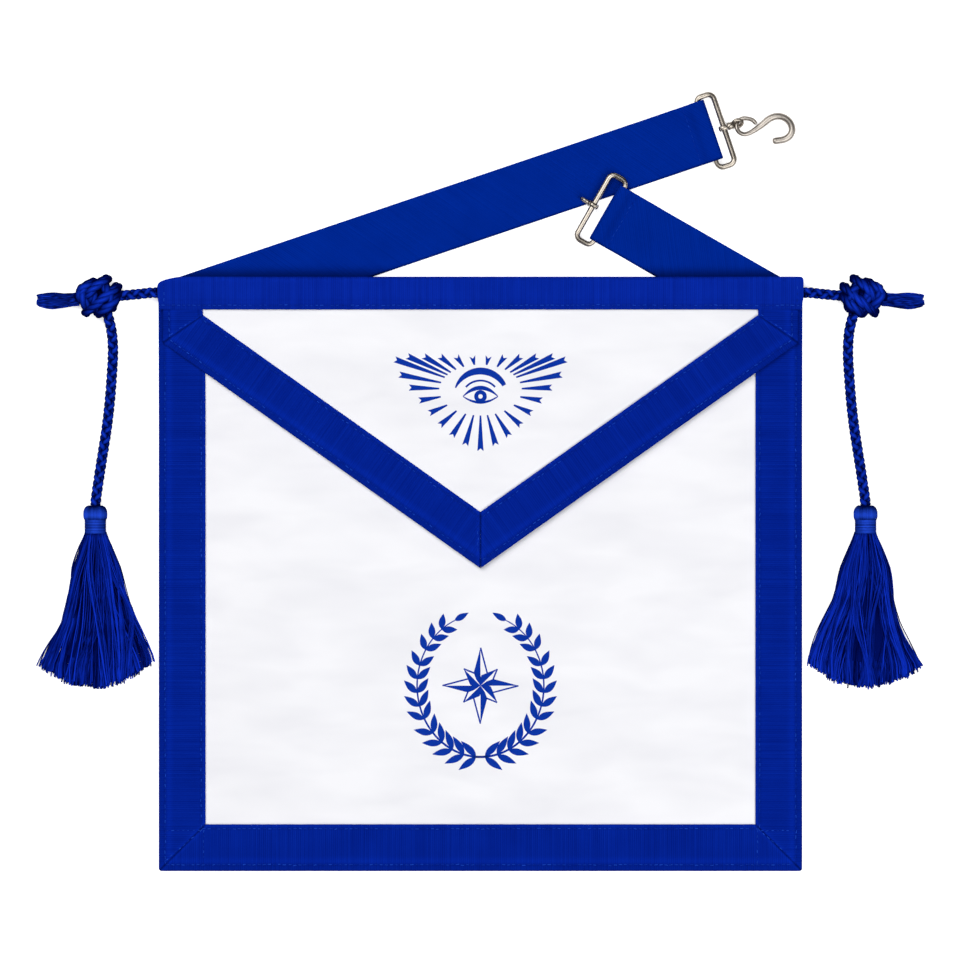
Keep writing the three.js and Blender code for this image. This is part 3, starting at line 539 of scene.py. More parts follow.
# %% The cord inside the waistband
heap = Heap()
casing_low, casing_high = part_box("casing_cord")
casing_y = (casing_low.y + casing_high.y) / 2
casing_z = (casing_low.z + casing_high.z) / 2
casing_ends = [(casing_low.x, casing_y, casing_z), (casing_high.x, casing_y, casing_z)]
casing_path = smooth_path(casing_ends, MM)
plait(heap, casing_path, casing_high.y - casing_low.y, casing_high.z - casing_low.z)
make_piece("casing_cord_plait", heap, cord_rayon, replaces=["casing_cord"])

# %% [markdown]
# ## Knots
# Each knot is the same cord wound round itself, so it is made of closed turns of the plait.
# Every turn runs over the front from one lobe to another and comes back underneath.

# %% Knots
# Where each turn starts and ends, in mm outwards and up from the knot's middle, and how
# high it lies: 1 runs over the front, less runs further in.
KNOT_TURNS = [
    {"out_a": -2.5, "up_a": 9.2, "out_b": -8.9, "up_b": -7.4, "high": 0.8, "bow": -2.0},
    {"out_a": 2.3, "up_a": 9.0, "out_b": -0.5, "up_b": -10.4, "high": 0.76, "bow": 2.0},
    {"out_a": 2.6, "up_a": 8.8, "out_b": 12.4, "up_b": -0.6, "high": 0.9, "bow": 1.4},
    {"out_a": -12.4, "up_a": 0.5, "out_b": -0.6, "up_b": -10.6, "high": 0.9, "bow": -1.4},
    {"out_a": 9.2, "up_a": 5.2, "out_b": 5.0, "up_b": -8.6, "high": 0.94, "bow": 3.2},
    {"out_a": -5.8, "up_a": 11.0, "out_b": 8.6, "up_b": -3.6, "high": 1.0, "bow": 1.2},
    {"out_a": -12.2, "up_a": 6.2, "out_b": 7.6, "up_b": -10.2, "high": 1.02, "bow": -0.8},
]
# Share of the way across and height as a share of the knot's, once round a turn
TURN_PROFILE = [
    (0, 0.44), (0.12, 0.66), (0.5, 0.82), (0.88, 0.66),
    (1, 0.44), (0.86, 0.24), (0.5, 0.18), (0.14, 0.24),
]
ROPE_WIDE = 7 * MM
ROPE_TALL = 6.2 * MM
ROPE_STRANDS = 3
ROPE_STRAND_SHARE = 0.28  # a strand's radius as a share of the rope's width
ROPE_PITCH = 18 * MM
# A body painted dark that fills the knot's inside, where there is only shade: mm out from its middle,
# then how thick it is there
KNOT_SHADE_CORE = [(-9, 2), (-6, 5), (-2, 6.2), (2, 6.2), (6, 5), (9, 2)]


def knot_turn(turn, node, sign):
    low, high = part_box(node)
    centre = (low + high) / 2
    points = []
    for share, height in TURN_PROFILE:
        bow = turn["bow"] * math.sin(math.pi * share)
        out = turn["out_a"] + (turn["out_b"] - turn["out_a"]) * share + bow
        up = turn["up_a"] + (turn["up_b"] - turn["up_a"]) * share + 0.5 * bow
        rise = height if height < 0.5 else 0.5 + (height - 0.5) * turn["high"]
        points.append((centre.x + sign * out * MM, centre.y + up * MM, high.z * rise))
    return smooth_path(points, CORD_STEP, closed=True)


def tight_rope(heap, path, tall):
    """Pulled tight, the plait shows as fat strands that lie side by side and lean."""
    _, side, lift = frames_along(path, closed=True)
    along = distances_along(path)
    whole = along[-1] + np.linalg.norm(path[0] - path[-1])
    turns = max(1, round(whole / ROPE_PITCH))
    radius = ROPE_STRAND_SHARE * ROPE_WIDE
    for k in range(ROPE_STRANDS):
        angle = 2 * np.pi * (turns * along / whole + k / ROPE_STRANDS)
        across = (ROPE_WIDE / 2 - radius) * np.cos(angle)
        up = (ROPE_TALL / 2 - radius) * np.sin(angle)
        centre = path + side * across[:, None] + lift * up[:, None]
        # Painted shade: strands that lie lower in the knot are darker, each of the three a little
        # different.
        depth = np.clip(1.5 * centre[:, 2] / tall - 0.62 + 0.1 * (k - 1), 0, 0.9)
        sweep(heap, centre, radius, 10, True, depth)


for side_name, sign in SIDES.items():
    node = f"knot_{side_name}"
    heap = Heap()
    for turn in KNOT_TURNS:
        tight_rope(heap, knot_turn(turn, node, sign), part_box(node)[1].z)
    shade_core_middle = (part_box(node)[0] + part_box(node)[1]) / 2
    shade_core_path = [shade_core_middle + Vector((x * MM, 0, -1 * MM)) for x, _ in KNOT_SHADE_CORE]
    # Painted shade: the body inside the knot is given the darkest shade.
    sweep(heap, shade_core_path, np.array([r for _, r in KNOT_SHADE_CORE]) * MM, 12, shade=0, flat=0.7)
    make_piece(f"wound_{node}", heap, cord_rayon, replaces=[node])

# %% [markdown]
# ## Tassels
# A tassel is a hank of thread folded over a loop of the cord and bound below the fold. The
# head shows the folded threads, the neck shows the binding, and the skirt hangs in hundreds
# of loose strands that gather in locks. Real threads are swept one by one, since the ragged
# edge and the dark gaps between locks are what makes a tassel.

# %% Tassel head and bound neck
HEAD_THREADS = 84
HEAD_THREAD_RADIUS = 0.33 * MM
NECK_TURNS = 9
NECK_SIDES = 40
STEPS_A_TURN = 4
CORE_SIDES = 24
# The head's outline: its width as a share of the widest, at a share of its length
HEAD_PROFILE = [
    (0.3, 0.02), (0.62, 0.0), (0.86, 0.14), (0.98, 0.36),
    (1.0, 0.6), (0.99, 0.84), (0.92, 1.0), (0.84, 1.06),
]
# Down a folded thread, from the cord to the binding: its share, then how light it is painted, with
# painted shade at the top and at the binding and a painted highlight across the lower half
HEAD_PAINTED_LIGHT = [(0.0, 0.1), (0.3, 0.25), (0.5, 0.5), (0.7, 0.9), (0.85, 0.7), (1.0, 0.1)]


def ring_points(centre, radius, down, count):
    angles = 2 * np.pi * np.arange(count) / count
    return [(centre.x + radius * math.cos(a), centre.y - down, centre.z + radius * math.sin(a))
            for a in angles]


def head_threads(heap, top, radius, length):
    """Threads folded over the cord's loop, each a little lighter or darker than the next, with painted
    light down each one.
    """
    for k in range(HEAD_THREADS):
        angle = 2 * math.pi * k / HEAD_THREADS
        reach = [(radius - 0.3 * MM) * share for share, _ in HEAD_PROFILE]
        points = [
            (top.x + r * math.cos(angle), top.y - length * down, top.z + r * math.sin(angle))
            for r, (_, down) in zip(reach, HEAD_PROFILE)
        ]
        path = smooth_path(points, 1.2 * MM)
        painted_sheen = [from_table(HEAD_PAINTED_LIGHT, share) for share in np.linspace(0, 1, len(path))]
        tone = np.array(painted_sheen) + random.uniform(-0.08, 0.08)
        sweep(heap, path, HEAD_THREAD_RADIUS, 5, shade=tone)


def bound_neck(heap, top, start, radius, length):
    """The binding's turns as one ribbed skin, with painted shade in the grooves between them and a
    random tone on each turn.
    """
    count = NECK_TURNS * STEPS_A_TURN + 1
    turn = length / NECK_TURNS
    rings = []
    for k in range(count):
        bulge = 0.2 * MM * abs(math.sin(math.pi * k / STEPS_A_TURN))
        down = start + turn * k / STEPS_A_TURN
        rings += ring_points(top, radius - 0.16 * MM + bulge, down, NECK_SIDES)
    groove_shade_and_tone = [0.1 if k % STEPS_A_TURN == 0 else random.uniform(0.55, 1.0) for k in range(count)]
    tones = [tone for tone in groove_shade_and_tone for _ in range(NECK_SIDES)]
    heap.add(rings, skin_faces(count, NECK_SIDES), shade=tones)


def tassel_head(heap, top, radius, head_length, neck_radius, neck_length):
    head_threads(heap, top, radius, head_length)
    bound_neck(heap, top, head_length, neck_radius, neck_length)
    core = ring_points(top, radius * 0.3, 0.3 * MM, CORE_SIDES)
    core += ring_points(top, radius * 0.86, head_length * 0.2, CORE_SIDES)
    core += ring_points(top, radius * 0.92, head_length * 0.9, CORE_SIDES)
    heap.add(core, skin_faces(3, CORE_SIDES), shade=0.3)


# %% Tassel skirt
SKIRT_STRANDS = 760
SKIRT_LOCKS = 38
STRAND_ROWS = 20
STRAND_RADIUS = 0.36 * MM  # real strands are finer, so each of these stands for a few
# Half width as a share of the widest, on the side towards the apron and on the far side
SKIRT_INNER = [
    (0.0, 0.19), (0.05, 0.26), (0.23, 0.47), (0.44, 0.62),
    (0.57, 0.76), (0.71, 0.91), (0.81, 1.0), (1.0, 1.03),
]
SKIRT_OUTER = [
    (0.0, 0.19), (0.05, 0.26), (0.23, 0.43), (0.47, 0.555), (0.59, 0.65),
    (0.69, 0.79), (0.79, 0.93), (0.86, 1.03), (1.0, 1.07),
]
SKIRT_DEPTH = [(0.0, 0.9), (0.1, 1.0), (0.3, 1.0), (0.55, 0.88), (0.8, 0.66), (1.0, 0.45)]
SKIRT_EDGE_RISE = 0.14  # the outermost strands end this share of the length higher
# Painted highlight: this share of the strands is painted light.
PAINTED_HIGHLIGHT_SHARE = 0.14  # of the strands catch the light
FILLER_EVERY = 4  # one strand in so many lies between the locks, further in
TIP_SPREAD = 0.6  # how much thicker a strand is at its teased tip
CORE_LENGTH = 0.84
CORE_WIDTH = 0.86


def skirt_place(box, sign, fan, share):
    """Plan place and depth of a strand that fans this far out, from -1 inside to 1 outside."""
    low, high = box
    outline = SKIRT_OUTER if fan > 0 else SKIRT_INNER
    wide = (high.x - low.x) / 2 * from_table(outline, max(0.0, share))
    x = (low.x + high.x) / 2 + sign * wide * fan * 0.97
    deep = (high.z - low.z) * from_table(SKIRT_DEPTH, max(0.0, share)) * (1 - 0.3 * fan**2)
    return x, deep


# %% One strand of the skirt


def within(value, low, high):
    return max(low, min(high, value))


def skirt_strand(heap, box, sign, lock, draw):
    """A strand that follows its lock, with small chances of its own."""
    low, high = box
    end_fan = within(lock["fan"] + draw.gauss(0, 0.03), -1.0, 1.0)
    start_fan = within(end_fan + lock["lean"] + draw.gauss(0, 0.14), -1.0, 1.0)
    layer = within(lock["layer"] + draw.uniform(-0.25, 0.25), 0.0, 1.0)
    shorter = 1 - SKIRT_EDGE_RISE * end_fan**2
    length = (high.y - low.y) * shorter * draw.uniform(0.982, 1.008) * lock["length"]
    stray = draw.gauss(0, 1.1 * MM)
    swing = draw.uniform(-1, 1)
    path = []
    for i in range(STRAND_ROWS):
        share = -0.015 + 1.015 * i / (STRAND_ROWS - 1)
        fan = start_fan + (end_fan - start_fan) * max(0.0, share) ** 0.8
        x, deep = skirt_place(box, sign, fan, share * length / (high.y - low.y))
        loose = math.sin(math.pi * max(0.0, share)) + 0.25 * share
        turn = math.pi * (share * lock["waves"] + lock["phase"])
        bend = lock["sway"] * (1 - 0.6 * abs(fan)) * math.sin(turn) * loose
        wisp = stray * share**2 + 1.0 * MM * swing * math.sin(9 * share + 5 * swing) * share
        z = STRAND_RADIUS + (deep - 1.4 * MM) * layer
        z += lock["lift"] * deep * max(0.0, share) * (1 - share)
        path.append((x + bend + wisp, high.y - length * share, max(STRAND_RADIUS, z)))
    # Painted shade: strands that lie lower are darker; each lock and strand also gets a random tone.
    shade = lock["shade"] + 0.4 * (layer - 0.5) + draw.gauss(0, 0.16)
    if draw.random() < PAINTED_HIGHLIGHT_SHARE:
        shade = draw.uniform(0.75, 1.0)
    spread = STRAND_RADIUS * (1 + TIP_SPREAD * np.linspace(0, 1, len(path)) ** 2)
    sweep(heap, path, spread, 4, shade=within(shade, 0.0, 1.0))


# %% A whole skirt


def skirt_core(heap, box, sign):
    """The strands deep inside, in shade and too dark to tell apart, as one flattened body painted dark.
    """
    low, high = box
    points = []
    rows, around = 10, 16
    for i in range(rows):
        share = CORE_LENGTH * i / (rows - 1)
        for k in range(around):
            angle = 2 * math.pi * k / around
            shorter = 1 - SKIRT_EDGE_RISE * math.cos(angle) ** 2
            x, deep = skirt_place(box, sign, CORE_WIDTH * math.cos(angle), share * shorter)
            z = deep * (0.36 + 0.3 * math.sin(angle))
            points.append((x, high.y - (high.y - low.y) * share * shorter, max(0.3 * MM, z)))
    heap.add(points, skin_faces(rows, around), shade=0.2)


def lock_of_strands(k, draw):
    """How one lock leans, sways, waves and shines; its strands follow it."""
    return {
        "fan": -1 + 2 * (k + 0.5) / SKIRT_LOCKS + draw.gauss(0, 0.025),
        "lean": draw.gauss(0, 0.3),
        "sway": draw.gauss(0, 3.2 * MM),
        "waves": draw.uniform(0.9, 2.2),
        "phase": draw.uniform(0, 0.4),
        "length": draw.uniform(0.975, 1.01),
        "lift": draw.uniform(-0.1, 0.35),
        "layer": draw.uniform(0.15, 0.95),
        "shade": draw.uniform(0.08, 0.5),
    }


def skirt(heap, box, sign, seed):
    draw = random.Random(seed)
    skirt_core(heap, box, sign)
    locks = [lock_of_strands(k, draw) for k in range(SKIRT_LOCKS)]
    for k in range(SKIRT_STRANDS):
        lock = locks[k % SKIRT_LOCKS]
        if k % FILLER_EVERY == 0:
            lock = dict(lock, fan=draw.uniform(-1, 1), lean=0, sway=0.3 * lock["sway"],
                        layer=draw.uniform(0, 0.5), shade=draw.uniform(0.1, 0.45))
        skirt_strand(heap, box, sign, lock, draw)


# %% Both tassels
random.seed(5)
HEAD_LENGTH = 8.6 * MM
NECK_RADIUS = 6.8 * MM
for number, (side_name, sign) in enumerate(SIDES.items()):
    low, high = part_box(f"tassel_head_{side_name}")
    radius = (high.x - low.x) / 2
    top = Vector(((low.x + high.x) / 2, high.y, radius))
    heap = Heap()
    tassel_head(heap, top, radius, HEAD_LENGTH, NECK_RADIUS, high.y - low.y - HEAD_LENGTH)
    head = make_piece(f"tassel_head_{side_name}_thread", heap, wound_rayon,
                      replaces=[f"tassel_head_{side_name}"])
    heap = Heap()
    skirt(heap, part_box(f"tassel_skirt_{side_name}"), sign, seed=11 + number)
    loose = make_piece(f"tassel_skirt_{side_name}_strands", heap, tassel_rayon,
                       replaces=[f"tassel_skirt_{side_name}"])

# %%


# %% [markdown]
# ## White panel and flap
# The body is imitation lambskin: a knitted cloth under a smooth white skin. It lies flat
# but never quite: long, shallow creases run across it, which the soft light just shows. The
# sheets are grids of points moved by a smooth noise, with real thickness.

# %% How the apron lies


def fade_in(distance, length):
    """A soft step from 0 to 1 over a length."""
    share = min(1.0, max(0.0, distance / length))
    return share * share * (3 - 2 * share)


def rise_at(y):
    """Height of the panel's back over the surface: it climbs to the waistband."""
    return PANEL_RISE * (1 - fade_in(BAND_LOW - y, FALL_LENGTH))


def waves(x, y, size, seed):
    """Smooth noise from 0 to 1 with waves about as wide as size."""
    return 0.5 + 0.5 * noise.noise(Vector((x / size, y / size, seed)))


PANEL_INNER_X = HALF_WIDTH - RIBBON_WIDTH
PANEL_INNER_LOW = BASE + RIBBON_WIDTH


def panel_top(x, y):
    """The panel's face, with long shallow creases that fade out under its ribbons."""
    inside = min(PANEL_INNER_X - abs(x), y - PANEL_INNER_LOW)
    depth = fade_in(inside, 14 * MM)
    broad = waves(0.45 * x, 1.3 * y + 0.2 * abs(x), 40 * MM, 1.7) - 0.5
    fine = waves(0.5 * x + 0.2 * y, y, 20 * MM, 4.2) - 0.5
    return rise_at(y) + PANEL_THICKNESS + depth * (0.45 + 0.7 * broad + 0.22 * fine) * MM


FLAP_APEX = low_corner("flap_ribbon_right").y
FLAP_CORNER = low_corner("flap_ribbon_side_right").y
FLAP_SLOPE = (FLAP_CORNER - FLAP_APEX) / FLAP_HALF
FLAP_SLANT = math.hypot(1, FLAP_SLOPE)
FLAP_RIBBON_WIDTH = 29 * MM
FLAP_SIDE_WIDTH = high_corner("flap_ribbon_side_right").x - low_corner("flap_ribbon_side_right").x


def flap_inner_edge(x):
    """Where the flap's slanted ribbons end and its leather shows."""
    return FLAP_APEX + abs(x) * FLAP_SLOPE + FLAP_RIBBON_WIDTH * FLAP_SLANT


def flap_top(x, y):
    depth = fade_in((y - flap_inner_edge(x)) / FLAP_SLANT, 12 * MM)
    broad = waves(0.45 * x, 1.2 * y, 40 * MM, 9.1) - 0.5
    return rise_at(y) + FLAP_LIFT + CLOTH + depth * (0.25 + 0.5 * broad) * MM


# %% [markdown]
# ### White leather finish
# Imitation lambskin is a polyurethane skin on cloth, embossed with a faint pebble grain, so
# the eye sees satin rather than gloss. A flat white would look like paper; long faint
# streaks of painted shade across the skin, a little darker and a little cooler, stand in for
# the shade in its shallow creases and make it cloth.

# %% White leather finish
GRAIN = 0.9 * MM
# Painted shade: long faint streaks, darker where creases would lie in shade, run across the skin
CREASE_SHADE_LENGTH = 66 * MM  # long faint creases run across the skin
CREASE_SHADE_SPACING = 23 * MM


def leather_material():
    made, tree, shader = new_finish("imitation_lambskin",
                                    {"Roughness": 0.5, "Specular IOR Level": 0.35})
    place = add_node(tree, "ShaderNodeTexCoord")
    grain = add_node(tree, "ShaderNodeTexVoronoi",
                     {"Vector": place.outputs["Object"], "Scale": 1 / GRAIN}, feature="SMOOTH_F1")
    along = add_node(tree, "ShaderNodeMapping",
                     {"Vector": place.outputs["Object"], "Rotation": (0, 0, 0.14),
                      "Scale": (1 / CREASE_SHADE_LENGTH, 1 / CREASE_SHADE_SPACING, 1 / CREASE_SHADE_LENGTH)})
    painted_crease_shade = add_node(tree, "ShaderNodeTexNoise",
                       {"Vector": along.outputs[0], "Scale": 1.0, "Detail": 2.0, "Distortion": 0.3})
    # Painted shade: the colour is darker and cooler along the streaks.
    crease_shade_share = add_node(tree, "ShaderNodeMapRange", {0: painted_crease_shade.outputs[0], 1: 0.3, 2: 0.66})
    colour = add_node(tree, "ShaderNodeMix",
                      {0: crease_shade_share.outputs[0], 6: linear("E4E4E9"), 7: linear("EDEDF1")},
                      data_type="RGBA")
    bump = add_node(tree, "ShaderNodeBump",
                    {"Strength": 0.12, "Distance": 0.06 * MM, "Height": grain.outputs[0]})
    fill_sockets(tree, shader, {"Base Color": colour.outputs[2], "Normal": bump.outputs[0]})
    return made


white_leather = leather_material()
print("leather grain", GRAIN / MM, "mm")

# %% Panel and flap sheets


def sheet_piece(name, node, lines, top_at, bottom_at):
    """A sheet from lines of plan points, each line running across the apron."""
    rows, columns = len(lines), len(lines[0])
    top = [(x, y, top_at(x, y)) for line in lines for x, y in line]
    bottom = [(x, y, bottom_at(x, y)) for line in lines for x, y in line]
    count = rows * columns
    faces = []
    for i in range(rows - 1):
        for k in range(columns - 1):
            a = i * columns + k
            quad = (a, a + 1, a + columns + 1, a + columns)
            faces.append(quad)
            faces.append(tuple(count + p for p in reversed(quad)))
    rim = [k for k in range(columns)]
    rim += [i * columns + columns - 1 for i in range(1, rows)]
    rim += [(rows - 1) * columns + k for k in range(columns - 2, -1, -1)]
    rim += [i * columns for i in range(rows - 2, 0, -1)]
    for a, b in zip(rim, rim[1:] + rim[:1]):
        faces.append((a, count + a, count + b, b))
    heap = Heap()
    heap.add(top + bottom, faces, [(p[0], p[1]) for p in top + bottom])
    return make_piece(name, heap, white_leather, replaces=[node])


PANEL_HALF = high_corner("apron_panel").x
PANEL_LOW = low_corner("apron_panel").y
ACROSS_SHEET = 150
DOWN_PANEL = 140
DOWN_FLAP = 90
# Lines of points lie closer together towards the slanted edges
FLAP_CROWDING = 1.3
panel_lines = [
    [(x, y) for x in np.linspace(-PANEL_HALF, PANEL_HALF, ACROSS_SHEET)]
    for y in np.linspace(PANEL_LOW, SHEET_TOP, DOWN_PANEL)
]
panel = sheet_piece("panel_leather", "apron_panel", panel_lines, panel_top,
                    lambda x, y: rise_at(y))

FLAP_LEATHER_HALF = high_corner("flap_panel").x
FLAP_LEATHER_APEX = low_corner("flap_panel").y
flap_lines = []
for share in np.linspace(0, 1, DOWN_FLAP) ** FLAP_CROWDING:
    line = []
    for x in np.linspace(-FLAP_LEATHER_HALF, FLAP_LEATHER_HALF, ACROSS_SHEET):
        edge = FLAP_LEATHER_APEX + abs(x) * FLAP_SLOPE
        line.append((x, edge + (SHEET_TOP - edge) * share))
    flap_lines.append(line)
flap = sheet_piece("flap_leather", "flap_panel", flap_lines, flap_top,
                   lambda x, y: rise_at(y) + FLAP_LIFT)

# %% [markdown]
# ## Ribbon border
# The border is grosgrain, a ribbon with fine ribs straight across it. Each length is folded
# over the cut edge, mitred at the corners and sewn down along both edges. A ribbon is made
# as one cross-section carried along it, so that the mitres, the turned edge and the
# dimples along the stitching are real shape; the ribs are too fine for that and are bump.

# %% [markdown]
# ### Grosgrain finish
# Grosgrain is woven with a fine warp over a fat weft, which gives the eye a matt cloth with
# a rib every 0.9 mm. A noise alone would look like felt, so a sine along the ribbon makes the
# ribs, streaks follow them, and the shade of each point paints shade into folds and stitched
# grooves and a painted highlight onto ridges.

# %% Grosgrain finish
RIB_PITCH = 1.3 * MM  # coarser than the real 0.9 mm, so that a rib spans two pixels


def woven_material(name, dark, light, rib, slant, rib_depth, roughness):
    """Cloth with ribs across its length, which slant as a twill's do; a shade of 0.5 adds no painted
    light, less paints shade and more a highlight.
    """
    made, tree, shader = new_finish(name, {"Roughness": roughness, "Specular IOR Level": 0})
    place = add_node(tree, "ShaderNodeUVMap", uv_map="pattern")
    axes = add_node(tree, "ShaderNodeSeparateXYZ", {0: place.outputs[0]})
    lean = add_node(tree, "ShaderNodeMath", {0: axes.outputs[1], 1: slant, 2: axes.outputs[0]},
                    operation="MULTIPLY_ADD")
    turns = add_node(tree, "ShaderNodeMath", {0: lean.outputs[0], 1: 2 * math.pi / rib},
                     operation="MULTIPLY")
    ribs = add_node(tree, "ShaderNodeMath", {0: turns.outputs[0]}, operation="SINE")
    line = add_node(tree, "ShaderNodeCombineXYZ", {0: lean.outputs[0], 1: axes.outputs[1]})
    stretch = add_node(tree, "ShaderNodeMapping",
                       {"Vector": line.outputs[0], "Scale": (1 / rib, 12, 1)})
    streaks = add_node(tree, "ShaderNodeTexNoise",
                       {"Vector": stretch.outputs[0], "Scale": 1.0, "Detail": 1.0})
    spots = add_node(tree, "ShaderNodeTexCoord")
    cloud = add_node(tree, "ShaderNodeTexNoise",
                     {"Vector": spots.outputs["Object"], "Scale": 40.0, "Detail": 2.0})
    first = add_node(tree, "ShaderNodeMath", {0: ribs.outputs[0], 1: 0.16, 2: streaks.outputs[0]},
                     operation="MULTIPLY_ADD")
    second = add_node(tree, "ShaderNodeMath", {0: cloud.outputs[0], 1: 0.6, 2: first.outputs[0]},
                      operation="MULTIPLY_ADD")
    depth = add_node(tree, "ShaderNodeMapRange", {0: second.outputs[0], 1: 0.4, 2: 1.2})
    colour = add_node(tree, "ShaderNodeMix", {0: depth.outputs[0], 6: linear(dark), 7: linear(light)},
                      data_type="RGBA")
    bump = add_node(tree, "ShaderNodeBump",
                    {"Strength": rib_depth, "Distance": 0.12 * MM, "Height": ribs.outputs[0]})
    # Painted light: the shade of each point scales the colour, darker in folds and stitched grooves,
    # lighter on ridges.
    shade = add_node(tree, "ShaderNodeAttribute", attribute_name="shade")
    painted_light_gain = add_node(tree, "ShaderNodeMapRange", {0: shade.outputs["Fac"], 3: 0.1, 4: 1.9})
    colour_with_painted_light = add_node(tree, "ShaderNodeVectorMath", {0: colour.outputs[2], "Scale": painted_light_gain.outputs[0]},
                     operation="SCALE")
    fill_sockets(tree, shader, {"Base Color": colour_with_painted_light.outputs[0], "Normal": bump.outputs[0]})
    return made


grosgrain = woven_material("grosgrain_ribbon", "021A7C", "052596", RIB_PITCH, 0.0, 0.35, 0.75)
casing_tape = woven_material("grosgrain_casing_tape", "041E86", "0829A2",
                             RIB_PITCH, 0.0, 0.35, 0.75)
print("grosgrain ribs every", RIB_PITCH / MM, "mm")

# %% Ribbon cross-section
EDGE_ROUND = 0.45 * MM
STITCH_INSET = 2.7 * MM
OUTER_STITCH_INSET = 4 * MM
DIP_DEPTH = 0.22 * MM
DIP_WIDTH = 0.7 * MM


def stitch_dip(across, width):
    """How far the ribbon is pulled down beside its two rows of stitches."""
    rows = (OUTER_STITCH_INSET, width - STITCH_INSET)
    return -DIP_DEPTH * sum(math.exp(-((across - row) / DIP_WIDTH) ** 2) for row in rows)


def ribbon_section(width, sheet_level, ribbon_level):
    """Points (across, height) once round: outer lip, top, inner edge and underside."""
    top = ribbon_level + CLOTH
    section = [(0, sheet_level), (0, top - EDGE_ROUND), (0.13 * MM, top - 0.13 * MM), (EDGE_ROUND, top)]
    for across in np.linspace(1.4 * MM, width - 1.2 * MM, 26):
        section.append((across, top + stitch_dip(across, width)))
    section += [(width - EDGE_ROUND, top), (width - 0.1 * MM, top - 0.15 * MM)]
    section += [(width, ribbon_level + 0.3 * MM), (width, ribbon_level)]
    section += [(CLOTH, ribbon_level), (CLOTH, sheet_level)]
    return section


# %% Painted light and corners of a ribbon
BODY_ROUND = 1.8 * MM
# Painted light across a border ribbon: mm from its outer edge, then how light it is painted
# there. The fold and each row of stitches have painted shade, and a painted highlight runs
# along a ridge inside each row of stitches.
OUTER_PAINTED_LIGHT = [(0.0, 0.4), (3.0, 0.47), (4.0, 0.34), (4.8, 0.52), (6.0, 0.6), (7.4, 0.57), (9.5, 0.48)]
INNER_PAINTED_LIGHT = [(0.0, 0.58), (1.2, 0.56), (2.7, 0.38), (4.0, 0.5), (6.0, 0.48)]
GROOVE_PAINTED_SHADE = 0.26
GROOVE_WIDTH = 0.8 * MM
RIDGE_PAINTED_HIGHLIGHT = 0.1


def ribbon_painted_light(across, width, to_end):
    """How light the ribbon is painted at a point, by its place across and its distance to a mitre:
    painted shade in the groove at the mitre, a painted highlight on the ridge beside it.
    """
    if across < width / 2:
        tone = from_table(OUTER_PAINTED_LIGHT, across / MM)
    else:
        tone = from_table(INNER_PAINTED_LIGHT, (width - across) / MM)
    groove = GROOVE_PAINTED_SHADE * math.exp(-((to_end / GROOVE_WIDTH) ** 2))
    ridge = RIDGE_PAINTED_HIGHLIGHT * math.exp(-(((to_end - 2 * MM) / MM) ** 2))
    return tone - groove + ridge


def round_body_corner(x, y):
    """Pulls a point outside the apron's two rounded bottom corners back to them."""
    cx, cy = HALF_WIDTH - BODY_ROUND, BASE + BODY_ROUND
    dx, dy = abs(x) - cx, y - cy
    if dx > 0 and dy < 0 and math.hypot(dx, dy) > BODY_ROUND:
        shrink = BODY_ROUND / math.hypot(dx, dy)
        return math.copysign(cx + dx * shrink, x), cy + dy * shrink
    return x, y


# %% One ribbon, from end to end
# Rows of points lie closer together near a mitre: how far each is from the end
END_ROWS = [0.0, 0.3 * MM, 0.7 * MM, 1.2 * MM, 1.9 * MM, 2.8 * MM]
ROW_PITCH = 1.6 * MM
MITRE_SINK = 0.16 * MM
WAVE_HEIGHT = 0.3 * MM


def ribbon_stations(length):
    rows = max(6, round((length - 2 * END_ROWS[-1]) / ROW_PITCH))
    middle = list(np.linspace(END_ROWS[-1], length - END_ROWS[-1], rows))
    return END_ROWS[:-1] + middle + [length - row for row in reversed(END_ROWS[:-1])]


def ribbon(name, node, outer, inner, sheet_level, ribbon_level, seed):
    """A ribbon between its outer and inner edge, each given by its two end points."""
    outer = [Vector(p) for p in outer]
    inner = [Vector(p) for p in inner]
    along = (outer[1] - outer[0]).normalized()
    inward = Vector((-along.y, along.x))
    width = abs((inner[0] - outer[0]).dot(inward))
    faces_down = (inner[0] - outer[0]).dot(inward) > 0
    section = ribbon_section(width, sheet_level, ribbon_level)
    length = (outer[1] - outer[0]).length
    stations = ribbon_stations(length)
    points, uvs, tones = [], [], []
    for station in stations:
        to_end = min(station, length - station)
        sink = MITRE_SINK * math.exp(-((to_end / (0.5 * MM)) ** 2))
        for across, height in section:
            share = across / width
            start = outer[0].lerp(inner[0], share)
            end = outer[1].lerp(inner[1], share)
            place = start.lerp(end, station / length)
            x, y = round_body_corner(place.x, place.y)
            on_top = height > ribbon_level + 0.2 * MM
            wave = WAVE_HEIGHT * (waves(x, y, 17 * MM, seed) - 0.5) - sink if on_top else 0
            points.append((x, y, rise_at(y) + height + wave))
            uvs.append(((place - outer[0]).dot(along), across))
            tones.append(ribbon_painted_light(across, width, to_end))
    faces = skin_faces(len(stations), len(section))
    if faces_down:
        faces = [tuple(reversed(f)) for f in faces]
    heap = Heap()
    heap.add(points, faces, uvs, tones)
    return make_piece(name, heap, grosgrain, replaces=[node])


